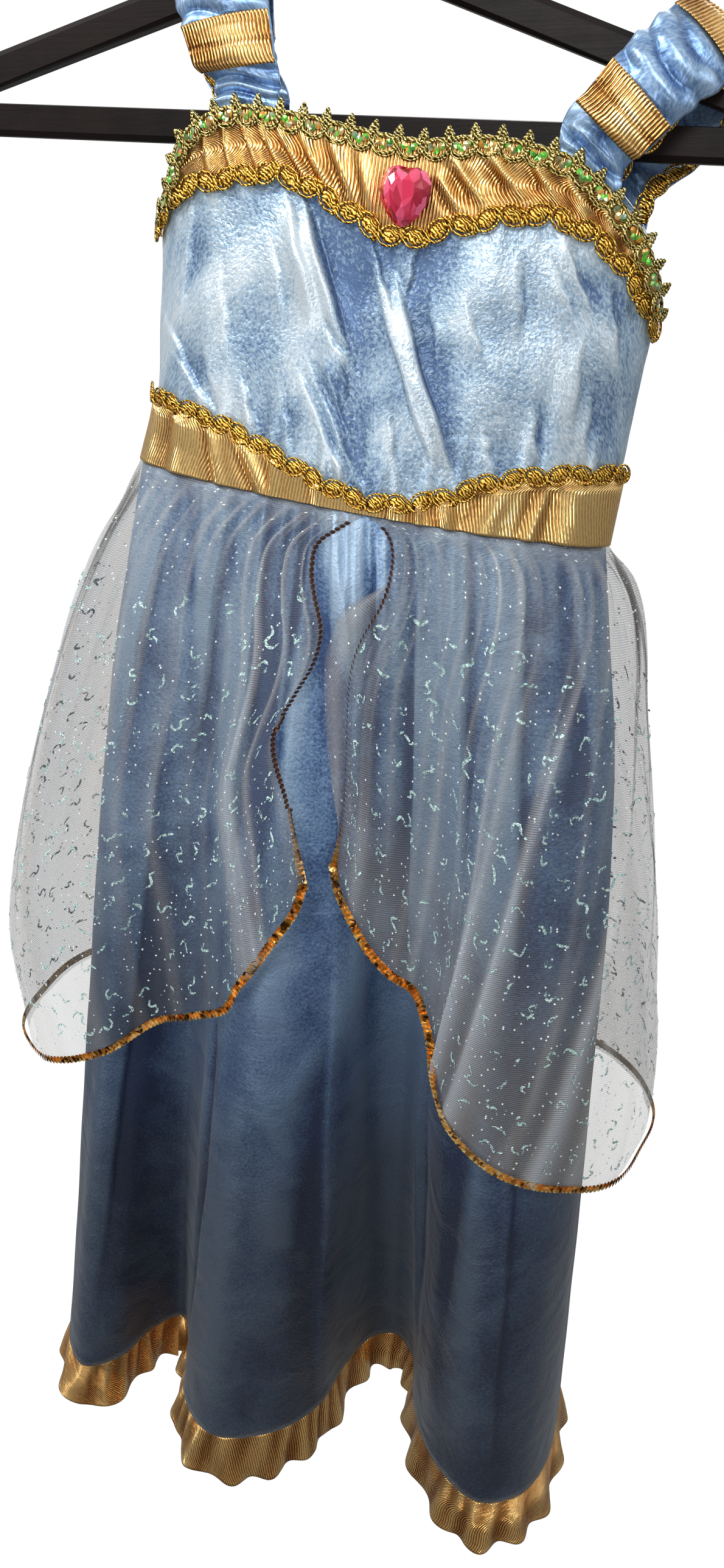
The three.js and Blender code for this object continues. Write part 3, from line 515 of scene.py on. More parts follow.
# The satin is free between these two lines, and sewn flat under the bands above and below.
FREE_FROM = [(-119, 50), (-75, 23), (-53, 19), (-14, 31), (8, 37), (27, 31), (66, 22), (119, 58)]
FREE_TO = [
    (-119, 126), (-60, 134), (-36, 142), (-13, 149), (9, 153), (47, 145), (78, 132), (119, 126),
]  # fmt: skip
SHADED_AT, SHADED_WIDTH = -8, 30  # painted shade in the hollow below the jewel
SEWN_EDGE, WAIST_REACH, BAND_REACH = 5, 13, 9  # held flat by a band, and gathered beyond it
TUCK_STRENGTH = 1.3
base, x, drop, _, middle = bodice_panel(0, neckline, waist_seam, 290, 160)
from_waist = reading(FREE_TO)(x) - drop
from_band = drop - reading(FREE_FROM)(x)
dice = np.random.default_rng(7)
gathers = sum(
    high * np.sin(x / pitch * 2 * np.pi + phase)
    for pitch, high, phase in zip(
        dice.uniform(7, 17, 7), dice.uniform(0.2, 0.45, 7), dice.uniform(0, 6.28, 7)
    )
)
clear = ease(from_waist / SEWN_EDGE) * ease(from_band / SEWN_EDGE)
beside_bands = np.exp(-from_waist / WAIST_REACH) + 0.6 * np.exp(-from_band / BAND_REACH)
relief = TUCK_STRENGTH * tuck_relief(TUCKS, x, drop) * clear * middle**0.5
relief += gathers * clear * beside_bands
relief += 0.7 * np.sin(x / 9 + drop / 19) * np.sin(drop / 15 - x / 23) * clear
# Painted shade in the hollows of the tucks and folds, painted highlight on their ridges, and a
# wide band of painted shade down the middle below the jewel.
bodice_front = sew(
    "bodice_front_satin",
    stand(base, relief),
    pale_satin,
    "bodice_satin",
    "bodice_front",
    painted_shading=0.52 + relief / 3 - 0.32 * np.exp(-(((x - SHADED_AT) / SHADED_WIDTH) ** 2)),
)

# ---- Bodice back ----
# The same satin, cut flat and left plain.
BACK_NECKLINE = [
    (-119, 47), (-112, 30), (-98, 9), (-80, 2), (0, 6), (80, 5), (98, 14), (112, 32), (119, 55),
]  # fmt: skip
back_neckline = reading(BACK_NECKLINE)
base, x, drop, _, middle = bodice_panel(1, back_neckline, waist_seam, 130, 80)
relief = 0.5 * np.sin(x / 9 + drop / 31) * np.exp(-(BODICE_LENGTH - drop) / 45) * middle
relief += 0.3 * np.sin(x / 15 - drop / 12) * middle
# Painted shade and painted highlight follow the soft wrinkles.
bodice_back = sew(
    "bodice_back_satin",
    stand(base, relief),
    pale_satin,
    "bodice_satin",
    "bodice_back",
    painted_shading=0.5 + relief / 3.2,
)

# ---- Neck band ----
# Gold lame with fine ribs down it, gathered on to the bodice front so that it puckers, and
# drawn to a point at centre front under the jewel.
BAND_FOOT = [
    (-119, 54), (-113, 45), (-101, 33), (-75, 25.7), (-53, 21.8), (-33, 26), (-14, 33.6),
    (8, 40), (27, 33.9), (58, 24.6), (76, 24.8), (93.5, 32.3), (109, 46.3), (119, 63),
]  # fmt: skip
ON_BODICE = 1.5  # outer face of a band, over the satin
NECK_DEEPEST, WAIST_DEEPEST = -0.8, -0.7  # a deeper pleat would reach the satin
# Pleats that lie in the band: (x, drop) to (x, drop), width, height.
NECK_PLEATS = [
    (-92, 4, -86, 28, 2.0, 0.9),
    (-82, 2, -74, 26, 1.6, 1.1),
    (-72, 0, -61, 22, 1.5, 1.2),
    (-64, 0, -50, 20, 1.6, 1.2),
    (-56, 0, -38, 22, 1.8, 1.3),
    (-46, 0, -26, 26, 2.2, 1.4),
    (-30, 2, -14, 30, 2.6, 1.3),
    (-14, 8, -6, 36, 2.4, 0.9),
    (24, 6, 42, 24, 2.2, 1.5),
    (20, 14, 34, 30, 2.0, 1.3),
    (38, 2, 58, 20, 2.4, 1.5),
    (56, 2, 72, 20, 2.2, 1.3),
    (70, 4, 86, 26, 2.0, 1.2),
    (84, 8, 98, 32, 2.0, 1.1),
    (98, 20, 108, 42, 2.0, 0.9),
]


def lame(name, dark, mid, light):
    """Metallic lame: bright gold with a fine rib down it, with painted shade in the hollows of its
    folds and painted highlight on their crowns.
    """
    finish = new_finish(
        name, Metallic=1.0, Roughness=0.26, Specular_IOR_Level=0.6, Anisotropic=0.4
    )
    weave = where_on(finish, "UV")
    streaks = stretched(finish, weave, (1, 0.3, 1))
    fine = remap(finish, noise(finish, streaks, 1700, 1, 0.4), 0.28, 0.72)
    ribs = banding(finish, weave, 200, 1.2, "X")
    # Painted shade and painted highlight from the folds darken and lighten the gold.
    tone = with_painted_shading(finish, blended(finish, 0.3, fine, ribs), 0.2)
    feed(finish, "Base Color", ramp(finish, tone, (0.26, dark), (0.48, mid), (0.66, light)))
    broad = bump(finish, noise(finish, streaks, 70, 2, 0.5, 0.6), 0.0016, 0.6)
    bump(finish, ribs, 0.0004, 0.8, broad)
    return finish


gold_lame = lame("gold lame", (116, 74, 36), (208, 148, 82), (255, 218, 146))
band_foot = reading(BAND_FOOT)
base, x, drop, k, middle = bodice_panel(0, neckline, band_foot, 360, 28)
held = np.sin(np.pi * k) ** 0.6 * middle**0.5
pucker = 0.28 * np.sin(x / 1.9 + 2 * np.sin(x / 11)) * (0.4 + 0.6 * np.abs(np.sin(x / 17)))
relief = (2.0 * fold_relief(NECK_PLEATS, x, drop, 0.7) + 0.8 * pucker + 0.5) * held
relief = np.maximum(relief, NECK_DEEPEST)
# Painted shade in the pleats' hollows and painted highlight on their crowns.
neck_band = sew(
    "neck_band_lame",
    stand(base, ON_BODICE + relief),
    gold_lame,
    "gold_lame",
    "neck_band",
    painted_shading=0.5 + relief / 3,
)

# ---- Waist band ----
# The same lame, deep at the side seams and narrow at centre front, gathered at its foot
# where the skirt and the overskirt are sewn in.
WAIST_TOP = [
    (-119, 124), (-85, 127.6), (-60, 132), (-36, 139.4), (-13, 147), (9, 151.5), (30, 148.7),
    (47, 143), (62, 135), (78, 130), (91, 127), (119, 123.6),
]  # fmt: skip
WAIST_PLEATS = [
    (-108, 112, -112, 172, 3.4, 0.7),
    (-94, 108, -90, 176, 6.5, 1.7),
    (-80, 120, -60, 174, 3.0, 1.5),
    (-62, 128, -34, 170, 3.4, 1.3),
    (-40, 132, -36, 170, 2.4, 0.9),
    (-18, 138, -12, 170, 2.6, 0.7),
    (20, 140, 24, 170, 2.2, 0.8),
    (32, 136, 36, 172, 2.2, 1.2),
    (40, 134, 54, 172, 3.0, 1.5),
    (74, 116, 60, 176, 6.0, 1.3),
    (92, 116, 82, 174, 3.0, 1.1),
    (98, 108, 106, 178, 7.0, 1.5),
]
waist_top = reading(WAIST_TOP)
base, x, drop, k, middle = bodice_panel(0, waist_top, waist_seam, 360, 24)
held = ease(k / 0.25) * (1 - 0.3 * k) * middle**0.5
pucker = 0.12 * np.sin(x / 2.1 + 1.6 * np.sin(x / 9)) * k
relief = 2.1 * fold_relief(WAIST_PLEATS, x, drop, 0.8) * held + pucker + 0.8
relief = np.maximum(relief, WAIST_DEEPEST)
# Painted shade in the pleats' hollows and painted highlight on their crowns, with the whole band
# painted a little lighter.
waist_band = sew(
    "waist_band_lame",
    stand(base, ON_BODICE + relief),
    gold_lame,
    "gold_lame",
    "waist_band",
    painted_shading=0.68 + relief / 3.4,
)


# ---- Medallion braid ----
# Gimp braid of gold thread: coiled oval medallions that overlap in a row, each with a ring
# round a coiled heart, sewn over the foot of the neck band and over the top of the waist band.
def settled(scale=(1, 1, 1), centre=(0, 0, 0)):
    """The object just added, with its scale, turn and centre (across, up, in) held in its mesh."""
    made = bpy.context.object
    made.scale = scale
    made.location = (centre[0] / 1000, centre[2] / 1000, centre[1] / 1000)
    bpy.ops.object.transform_apply(location=True, rotation=True, scale=True)
    return made


def wreath(centre, half_wide, half_tall, thread, sides=16):
    """One oval ring of thread, lying in the plane y = 0, in millimetres."""
    bpy.ops.mesh.primitive_torus_add(
        major_segments=sides,
        minor_segments=5,
        major_radius=1,
        minor_radius=2 * thread / (half_wide + half_tall),
        rotation=(math.pi / 2, 0, 0),
    )
    return settled(
        (half_wide / 1000, half_tall / 1000, (half_wide + half_tall) / 2000), centre
    )


def boss(centre, radius):
    """A small domed knot of thread."""
    bpy.ops.mesh.primitive_uv_sphere_add(segments=10, ring_count=6, radius=radius / 1000)
    return settled((1, 0.6, 1), centre)


def shell(half_wide, half_tall, deep, ribs):
    """A shallow dome of thread laid in ribs out from its middle."""
    bpy.ops.mesh.primitive_uv_sphere_add(
        segments=2 * ribs, ring_count=6, radius=1, rotation=(math.pi / 2, 0, 0)
    )
    for corner in bpy.context.object.data.vertices:
        x, y, _ = corner.co
        corner.co.z *= 1 + 0.7 * math.cos(ribs * math.atan2(y, x)) * math.hypot(x, y)
    return settled((half_wide / 1000, half_tall / 1000, deep / 1000))


def as_one(name, parts):
    """Several objects made one mesh, and taken out of the scene."""
    bpy.ops.object.select_all(action="DESELECT")
    for part in parts:
        part.select_set(True)
    bpy.context.view_layer.objects.active = parts[0]
    if len(parts) > 1:
        bpy.ops.object.join()
    made = bpy.context.object
    data = made.data
    data.name = name
    bpy.data.objects.remove(made)
    return data


def row_of(name, shape, places, finish, slot, *nodes, smooth=True):
    """Copies of one small shape, each at its own place, sewn on as one piece."""
    corners = np.empty(3 * len(shape.vertices))
    shape.vertices.foreach_get("co", corners)
    corners = corners.reshape(-1, 3)
    rims = [list(face.vertices) for face in shape.polygons]
    points, faces = [], []
    for i, place in enumerate(places):
        place = np.array(place)
        points.append(corners @ place[:3, :3].T + place[:3, 3])
        faces += [[corner + i * len(corners) for corner in rim] for rim in rims]
    data = bpy.data.meshes.new(name)
    data.from_pydata(np.vstack(points).tolist(), [], faces)
    if smooth:
        data.shade_smooth()
    return shown(name, data, finish, slot, *nodes)


def sewn_places(line, out, pitch, roll=0.0):
    """A place at each pitch of a line in millimetres: x along it, y into the cloth."""
    length = np.concatenate([[0], np.cumsum(np.linalg.norm(np.diff(line, axis=0), axis=1))])
    count = int(round(length[-1] / pitch))
    where = (np.arange(count) + 0.5) * length[-1] / count
    at = pick(line, length, where)
    along = unit(pick(line, length, where + 0.5) - pick(line, length, where - 0.5))
    outward = unit(pick(out, length, where))
    up = unit(np.cross(outward, along))
    outward = unit(np.cross(along, up))
    places = []
    for i in range(count):
        place = np.eye(4)
        place[:3, 0], place[:3, 1], place[:3, 2] = along[i], -outward[i], up[i]
        place[:3, 3] = at[i] / 1000
        places.append(place @ np.array(Matrix.Rotation(roll * (-1) ** i, 4, "Y")))
    return places


def gimp(name, dark, mid, light):
    """Metallic gimp thread: tight twists, painted darker between them as painted shade and flecked
    bright as painted glint.
    """
    finish = new_finish(name, Metallic=0.95, Roughness=0.3, Specular_IOR_Level=0.6)
    place = where_on(finish)
    twist = banding(finish, place, 300, 9.0, "DIAGONAL", detail=3.0)
    grain_and_painted_glints = noise(finish, place, 1500, 2, 0.6)
    # The colour carries painted shade between the twists and painted glint on the bright flecks;
    # the flecks also roughen the thread.
    tone = blended(finish, 0.5, twist, grain_and_painted_glints)
    feed(finish, "Base Color", ramp(finish, tone, (0.3, dark), (0.5, mid), (0.68, light)))
    bump(finish, grain_and_painted_glints, 0.0002, 0.7, bump(finish, twist, 0.00022, 0.8))
    return finish


def across_bodice(edge, lift):
    """A line along an edge of the bodice front, lifted off it, and the way out along it."""
    turns = np.linspace(0.006, 0.994, 500)
    rows = np.array([-1.0, 0.0, 1.0])[:, None] + edge(bodice_x(turns))[None, :]
    across, depth = bodice(turns[None, :], rows)
    grid = hang(across, depth, rows)
    out = normals(grid)[1]
    return grid[1] + out * lift, out


BRAID_LIFT, BRAID_PITCH, BRAID_ROLL = 2.6, 10.5, 0.4
gold_gimp = gimp("gold gimp", (82, 48, 8), (196, 134, 34), (252, 216, 108))
medallion = as_one(
    "medallion",
    [
        shell(4.2, 3.1, 0.7, 9),
        wreath((0, 0, -0.4), 5.5, 4.0, 0.65),
        boss((0.6, 0, -1.0), 0.9),
        wreath((5.25, 0, 0.1), 1.2, 2.3, 0.7, 8),
    ],
)
for braid, edge in (("neck_braid", band_foot), ("waist_braid", waist_top)):
    places = sewn_places(*across_bodice(edge, BRAID_LIFT), BRAID_PITCH, BRAID_ROLL)
    row_of(f"{braid}_medallions", medallion, places, gold_gimp, "gold_braid", braid)

# ---- Picot braid on the neckline ----
# Olive-gold braid: a row of thread loops, each holding three little clear sequins that
# flash green and orange, with a pointed picot standing up between them.
olive_gimp = gimp("olive gold gimp", (70, 58, 18), (164, 142, 66), (232, 216, 150))
PICOT_LIFT, PICOT_PITCH = 2.9, 11
picot = as_one(
    "picot",
    [
        wreath((0, -3.4, 0), 4.9, 3.3, 0.8),
        wreath((0, -3.6, 0), 5.6, 4.2, 0.5),
        wreath((5.4, 0, 0), 2.1, 0.8, 0.8, 10),
        wreath((5.4, 1.5, -0.2), 1.6, 0.7, 0.75, 8),
        wreath((5.4, 2.8, -0.1), 1.1, 0.6, 0.65, 8),
        boss((5.4, 4.0, 0), 1.0),
        wreath((5.4, -2.2, -0.5), 1.0, 2.4, 0.6, 10),
    ],
)
picot_places = sewn_places(*across_bodice(neckline, PICOT_LIFT), PICOT_PITCH)
row_of("neck_trim_picots", picot, picot_places, olive_gimp, "picot_braid", "neck_trim")


def dished(name, sides, radius, heart, rim):
    """A thin round sequin, its heart and its rim pushed so far into the cloth."""
    bpy.ops.mesh.primitive_circle_add(
        vertices=sides, radius=radius / 1000, fill_type="TRIFAN", rotation=(math.pi / 2, 0, 0)
    )
    made = settled()
    for corner in made.data.vertices:
        corner.co.y = (heart if corner.co.length < radius / 3000 else rim) / 1000
    return as_one(name, [made])


def flecks(finish, where, scale):
    """Little cells, as sequins and glitter catch the light: a tone for each, and their rims."""
    cells = add_node(finish, "TexVoronoi", {"Vector": where, "Scale": scale}).outputs
    return add_node(finish, "SeparateColor", {0: cells["Color"]}).outputs[0], cells["Distance"]


spangle = dished("spangle", 8, 1.5, -0.3, 0)
SPANGLES = [(-2.3, -2.7, 0.3), (0.0, -4.0, -0.2), (2.2, -2.6, 0.15)]  # across, up, lean
spangle_places = []
for i, place in enumerate(picot_places):
    for across, up, lean in SPANGLES:
        shift = Matrix.Translation((across / 1000, -0.0008, up / 1000))
        tip = Matrix.Rotation(lean * math.sin(i * 2.4 + across), 4, "X")
        spin = Matrix.Rotation(0.3 * math.cos(i * 1.7 + up), 4, "Z")
        spangle_places.append(place @ np.array(shift @ tip @ spin))
holographic = new_finish(
    "holographic sequin", Metallic=0.55, Roughness=0.12, Coat_Weight=0.8, Coat_Roughness=0.05
)
hue, _ = flecks(holographic, where_on(holographic), 420)
flashes = ramp(
    holographic,
    hue,
    (0.0, (40, 120, 30)),
    (0.35, (110, 210, 60)),
    (0.55, (120, 130, 96)),
    (0.75, (236, 160, 40)),
    (1.0, (150, 190, 160)),
)
feed(holographic, "Base Color", flashes)
row_of("neck_trim_spangles", spangle, spangle_places, holographic, "picot_braid", smooth=False)

# ---- Jewel ----
# A drop of clear rose plastic, round above and pointed below, cut in facets round a flat
# table and glued on to the neck band at centre front.
JEWEL_X, JEWEL_DROP, JEWEL_LIFT = 8, 22, 0.9
JEWEL_HALF = [
    (0, 9.0), (4.4, 9.6), (8.4, 8.0), (10.9, 4.2), (11.3, 0), (9.9, -4.4), (6.8, -9),
    (3.4, -12.2),
]  # fmt: skip
around = JEWEL_HALF + [(0, -13.6)] + [(-x, z) for x, z in JEWEL_HALF[:0:-1]]
around = np.array(around, float)
between = mix(around, np.roll(around, -1, axis=0), 0.5)
# Each level of the cut is an outline and how far it stands out: foot, girdle, crown, table.
levels = [(around * 0.92, 0), (around, 2.2), (between * 0.76, 5.4), (around * 0.46, 7)]
jewel_y = bodice(np.arccos(-JEWEL_X / BODICE_HALF) / np.pi, JEWEL_DROP)[1]
seat = hang(JEWEL_X, jewel_y - ON_BODICE - JEWEL_LIFT, JEWEL_DROP)
aside = unit(hang(JEWEL_X + 1, 0, JEWEL_DROP) - hang(JEWEL_X, 0, JEWEL_DROP))
upward = np.array([-aside[2], 0, aside[0]])
points = []
for flat, out in levels:
    level = seat + flat[:, :1] * aside + flat[:, 1:] * upward
    points += ((level - np.array([0, out, 0])) / 1000).tolist()
count = len(around)
faces = [list(range(count)), list(range(3 * count, 4 * count))[::-1]]
foot, girdle, crown, table = (level * count for level in range(4))
for i in range(count):
    j = (i + 1) % count
    faces += [
        (foot + i, girdle + i, girdle + j, foot + j),
        (girdle + i, crown + i, girdle + j),
        (crown + i, crown + j, girdle + j),
        (crown + i, table + j, crown + j),
        (table + i, table + j, crown + i),
    ]
data = bpy.data.meshes.new("jewel")
data.from_pydata(points, [], faces)
rose = new_finish(
    "rose jewel", Roughness=0.1, IOR=1.5, Metallic=0.35, Specular_IOR_Level=0.7,
    Coat_Weight=1.0, Coat_Roughness=0.03,
)  # fmt: skip
# Painted reflections: cells of darker and lighter rose stand for facets that miss or catch the
# light.
facet_light_cells, _ = flecks(rose, stretched(rose, where_on(rose), (1, 1, 0.3)), 330)
painted_facet_light = ramp(rose, facet_light_cells, (0.1, (146, 8, 34)), (0.5, (220, 26, 74)), (0.9, (255, 110, 150)))
feed(rose, "Base Color", painted_facet_light)
shown("jewel", data, rose, "jewel", "gem")

# ---- Straps ----
# Wide straps of the same satin, gathered up across their width into puffs, with three flat
# bands of lame sewn round each, and medallion braid down the outer edge.
# Neck is where a strap is sewn: x in front, half its width there, and x behind. Its route over
# the hanger is in rows of x, y, z, half width and lean in degrees.
STRAPS = {
    "left": {
        "neck": (-71, 16, -80),
        "route": [
            (-41.8, -20.5, -131, 16, 0), (-45, -24, -114, 19, 4), (-52, -17, -89, 21, 9),
            (-57, 0, -73.6, 22, 14.1), (-60, 14, -87, 21, 12), (-58, 17, -112, 18, 8),
            (-51, 15.2, -135, 16, 6),
        ],
        "outer": -1,
        "sway": 0.0,
    },
    "right": {
        "neck": (81, 14, 93),
        "route": [
            (106, -19, -156, 15, -36), (119, -24, -143, 17, -43), (136, -19, -126, 18, -46),
            (157, 0, -112.4, 19, -44), (154, 14, -128, 18, -34), (138, 17, -149, 16, -30),
            (122, 13, -167, 15, -32),
        ],
        "outer": 1,
        "sway": 1.3,
    },
}  # fmt: skip
STRAP_ROWS, STRAP_LENGTH, STRAP_SEWN, STRAP_JOIN = 24, 125, 0.08, 0.07
STRAP_PUFF, STRAP_CROWN, STRAP_TUCK = 3.2, 2.6, 3.2
STRAP_INSIDE, STRAP_STEADY = 0.3, 0.06  # its ends lie inside the neckline, and lie smooth
STRAP_BANDS = [(3, 6), (10, 13), (16, 19)]  # the rows that each band lies over
STRAP_BAND_LIFT, STRAP_BRAID_LIFT, STRAP_BRAID_PITCH = 1.7, 3.0, 9.6
turn_table = np.linspace(0, 1, 2001)


def strap_surface(strap, u, v):
    """Points of a strap: u is -1 to 1 across it, v 0 to 1 from the front neckline to the back."""
    u, v = np.broadcast_arrays(u, v)
    neck_x, neck_half, back_x = strap["neck"]
    rows = np.array(strap["route"], float)
    line, _ = through(rows[:, :3])
    keys = np.linspace(0, 1, len(line))
    shares = np.linspace(0, 1, len(rows))
    at = np.clip(v, 0, 1)
    half = reading(np.column_stack([shares, rows[:, 3]]))(at)[..., None]
    lean = np.radians(reading(np.column_stack([shares, rows[:, 4]]))(at))
    step = 1e-3
    ahead, behind = np.clip(at + step, 0, 1), np.clip(at - step, 0, 1)
    along = unit(pick(line, keys, ahead) - pick(line, keys, behind))
    width = np.stack([np.cos(lean), np.zeros_like(lean), np.sin(lean)], axis=-1)
    out = unit(np.cross(width, along))
    loose = np.ones_like(at)
    for first, last in STRAP_BANDS:
        from_middle = np.abs(at * STRAP_ROWS - (first + last) / 2) / ((last - first) / 2)
        loose = loose * (1 - ease(1.6 - from_middle))
    height = STRAP_CROWN * (1 - u**2) + STRAP_PUFF * loose * (1 - u**4)
    free = pick(line, keys, at) + width * u[..., None] * half + out * height[..., None]
    back = v > 0.5
    from_end = np.where(back, 1 - v, v)
    sewn = 1 - ease((from_end - STRAP_SEWN) / STRAP_JOIN)
    x = np.where(back, back_x, neck_x) + u * neck_half
    front_turn = np.interp(x, bodice_x(turn_table), turn_table)
    back_turn = 1 + np.interp(-x, -bodice_x(1 + turn_table), turn_table)
    turn = np.where(back, back_turn, front_turn)
    edge = np.where(back, back_neckline(x), neckline(x)) - from_end * STRAP_LENGTH
    edge = edge - STRAP_INSIDE
    across, depth = bodice(turn, edge)
    return mix(free, hang(across, depth, edge), sewn[..., None]), loose


strap_satin, _ = satin(
    "strap satin", (60, 88, 138), (112, 146, 188), (172, 200, 228), gloss=1.5, crush=0.1
)
for side, strap in STRAPS.items():
    u, v = np.linspace(-1, 1, 40)[None, :], np.linspace(1, 0, 190)[:, None]
    grid, loose = strap_surface(strap, u, v)
    sway = strap["sway"]
    tucks = np.sin(54 * v + 1.1 * np.sin(2.0 * u + sway) + 3 * np.sin(9 * v + sway))
    tucks = np.abs(tucks) - 0.6 + 0.2 * np.sin(118 * v + 2.2 * np.sin(1.8 * u - sway))
    relief = STRAP_TUCK * tucks * loose * (1 - 0.4 * u**2)
    relief = relief * ease((1 - v) / STRAP_STEADY) * ease(v / STRAP_STEADY)
    # Painted shade in the hollows of the puffs and painted highlight on their crowns.
    piece = sew(
        f"strap_{side}_satin",
        stand(grid, relief),
        strap_satin,
        "bodice_satin",
        f"strap_{side}",
        painted_shading=0.5 + relief / 3,
    )
    for i, (first, last) in enumerate(STRAP_BANDS):
        u = np.linspace(-0.96, 0.96, 60)[None, :]
        across = np.linspace(1, 0, 24)[:, None]
        grid, _ = strap_surface(strap, u, mix(first, last, across) / STRAP_ROWS)
        relief = 0.5 * np.sin(3 * u + i + 2 * across) * np.sin(np.pi * across)
        relief += 0.1 * np.sin(55 * u + 4 * np.sin(2 * u)) * np.sin(np.pi * across)
        # A row of stitches draws the band in along its middle.
        relief -= 0.45 * np.exp(-(((across - 0.5) / 0.05) ** 2))
        # Painted shade along the stitched middle and in the ripples, painted highlight on their
        # crowns.
        band = sew(
            f"strap_{side}_lame_{i + 1}",
            stand(grid, STRAP_BAND_LIFT + relief),
            gold_lame,
            "gold_lame",
            f"strap_{side}_band_{i + 1}",
            painted_shading=0.5 + relief,
        )
    v = np.linspace(0.05, 0.985, 400)
    edge_u = strap["outer"] * np.array([0.7, 0.88, 1.06])[:, None]
    grid, _ = strap_surface(strap, edge_u, v)
    normal = -normals(grid)[1] * strap["outer"]
    places = sewn_places(grid[1] + normal * STRAP_BRAID_LIFT, normal, STRAP_BRAID_PITCH)
    name = f"strap_{side}_medallions"
    row_of(name, medallion, places, gold_gimp, "gold_braid", f"strap_{side}_braid")

# ---- Skirt ----
# Blue satin, gathered at the waist and falling in three wide bells before and three behind.
# It hangs in shadow under the overskirt, and painted shade darkens its colour from pale at the
# waist to deep at the hem.
# The hem in plan, (x, y), from the left side seam across the front, and back again behind.
HEM_FRONT = [
    (-168, -8), (-160, -45), (-138, -66), (-118, -52), (-107, -22), (-92, -6), (-77, -28),
    (-63, -66), (-36, -84), (2, -68), (23, -40), (30, -6), (42, 24), (58, 32), (74, 18),
    (84, -18), (104, -52), (136, -71), (162, -58), (175, -32),
]  # fmt: skip
HEM_BACK = [
    (178, -2), (175, 36), (158, 66), (128, 80), (100, 72), (78, 62), (54, 70), (22, 89),
    (-14, 90), (-44, 70), (-66, 44), (-90, 36), (-114, 54), (-140, 66), (-162, 46), (-170, 16),
]  # fmt: skip
SKIRT_SPREAD = [
    (0, 0), (50, 0.17), (100, 0.34), (200, 0.54), (300, 0.66), (400, 0.78), (500, 0.88),
    (630, 1.02),
]  # fmt: skip
FOLD_POWER = 1.2  # above 1, the bells open late
# Soft folds between the bells, on the front: (x, drop) to (x, drop), width, height.
SKIRT_FOLDS = [
    (-4, 150, 10, 250, 9, 6.5),
    (-12, 152, -24, 330, 6, 3),
    (26, 152, 36, 360, 7, 3),
    (-20, 300, -44, 740, 14, 2.2),
    (-46, 360, -60, 720, 6, 2.6),
    (-2, 380, -18, 740, 14, 1.4),
    (96, 330, 118, 740, 9, 3.4),
    (120, 360, 148, 720, 7, 2.8),
    (-118, 380, -146, 740, 7, 2.8),
    (-30, 470, 2, 540, 7, 1.6),
    (14, 440, -10, 500, 6, 1.4),
    (-16, 560, 8, 610, 8, 1.5),
    (26, 520, 10, 620, 7, 1.5),
    (106, 480, 104, 700, 5, 1.8),
]
# Sharper ones near the waist, where the cloth is drawn up.
SKIRT_TUCKS = [
    (-4, 160, 6, 214, 9, 2.4),
    (14, 164, 20, 236, 7, -2.2),
    (8, 176, 14, 204, 4, 1.4),
    (-92, 158, -128, 330, 16, 4.5),
    (-60, 158, -78, 300, 12, 3.6),
    (-40, 158, -50, 380, 14, 4.0),
    (-22, 158, -28, 300, 9, 2.6),
    (36, 158, 46, 420, 14, -4.2),
    (58, 158, 78, 360, 14, 4.2),
    (84, 158, 112, 400, 16, 4.6),
    (104, 158, 140, 300, 12, -3.4),
    (-100, 330, -130, 700, 16, 3.4),
    (-56, 420, -76, 740, 14, 3.8),
    (10, 400, 20, 740, 24, -2.0),
    (60, 420, 78, 740, 16, 4.2),
    (118, 400, 142, 740, 16, 3.4),
]
# Where the satin rises to the light or sinks away from it, from 1 to -1: real folds, which also
# carry painted highlight and painted shade.
SKIRT_SHEEN = [
    (-113, 130, -112, 350, 10, 1.0),
    (-86, 140, -76, 330, 3.5, -1.2),
    (-66, 140, -48, 420, 8, 0.8),
    (-32, 170, -36, 430, 7, -0.8),
    (38, 130, 44, 430, 9, -1.1),
    (58, 110, 118, 330, 13, 1.1),
    (96, 230, 84, 430, 12, 0.7),
    (110, 120, 130, 330, 6, -1.0),
    (8, 150, 6, 215, 8, 0.8),
    (1, 200, 2, 300, 6, -0.6),
    (14, 360, 18, 480, 9, 0.7),
    (-18, 370, -24, 470, 7, 0.6),
]


def ring(front, back):
    """A closed plan line, read by the same turns as the bodice."""
    line, share = through([*front, *back], closed=True)
    seam = share[len(front) * SPAN_STEPS]

    def read(turn):
        around = np.mod(turn, 2)
        where = np.where(around < 1, around * seam, seam + (around - 1) * (1 - seam))
        return pick(line, share, where)

    return read


hem_ring = ring(HEM_FRONT, HEM_BACK)
skirt_spread = reading(SKIRT_SPREAD)


def skirt(turn, below):
    """The waist's oval opening out into the bells of the hem."""
    waist_x, waist_y = bodice(turn, BODICE_LENGTH)
    hem = hem_ring(turn)
    x = mix(waist_x, hem[..., 0], skirt_spread(below))
    y = mix(waist_y, hem[..., 1], np.maximum(0, below / SKIRT_LENGTH) ** FOLD_POWER)
    return x, y


def tinted(finish, share, first, second, how="MIX"):
    sockets = {0: share, 6: first, 7: second}
    return add_node(finish, "Mix", sockets, data_type="RGBA", blend_type=how).outputs[2]


def height_share(finish, low, high):
    """How high a place is, 0 at one height in metres and 1 at the other."""
    height = add_node(finish, "SeparateXYZ", {0: where_on(finish)}).outputs["Z"]
    return remap(finish, height, 0.0, 1.0, low, high)


shaded_skirt_satin, satin_colour = satin(
    "skirt satin",
    (70, 96, 140),
    (124, 154, 190),
    (176, 200, 222),
    gloss=0.45,
    crush=1.3,
    painted_shade_depth=0.3,
)
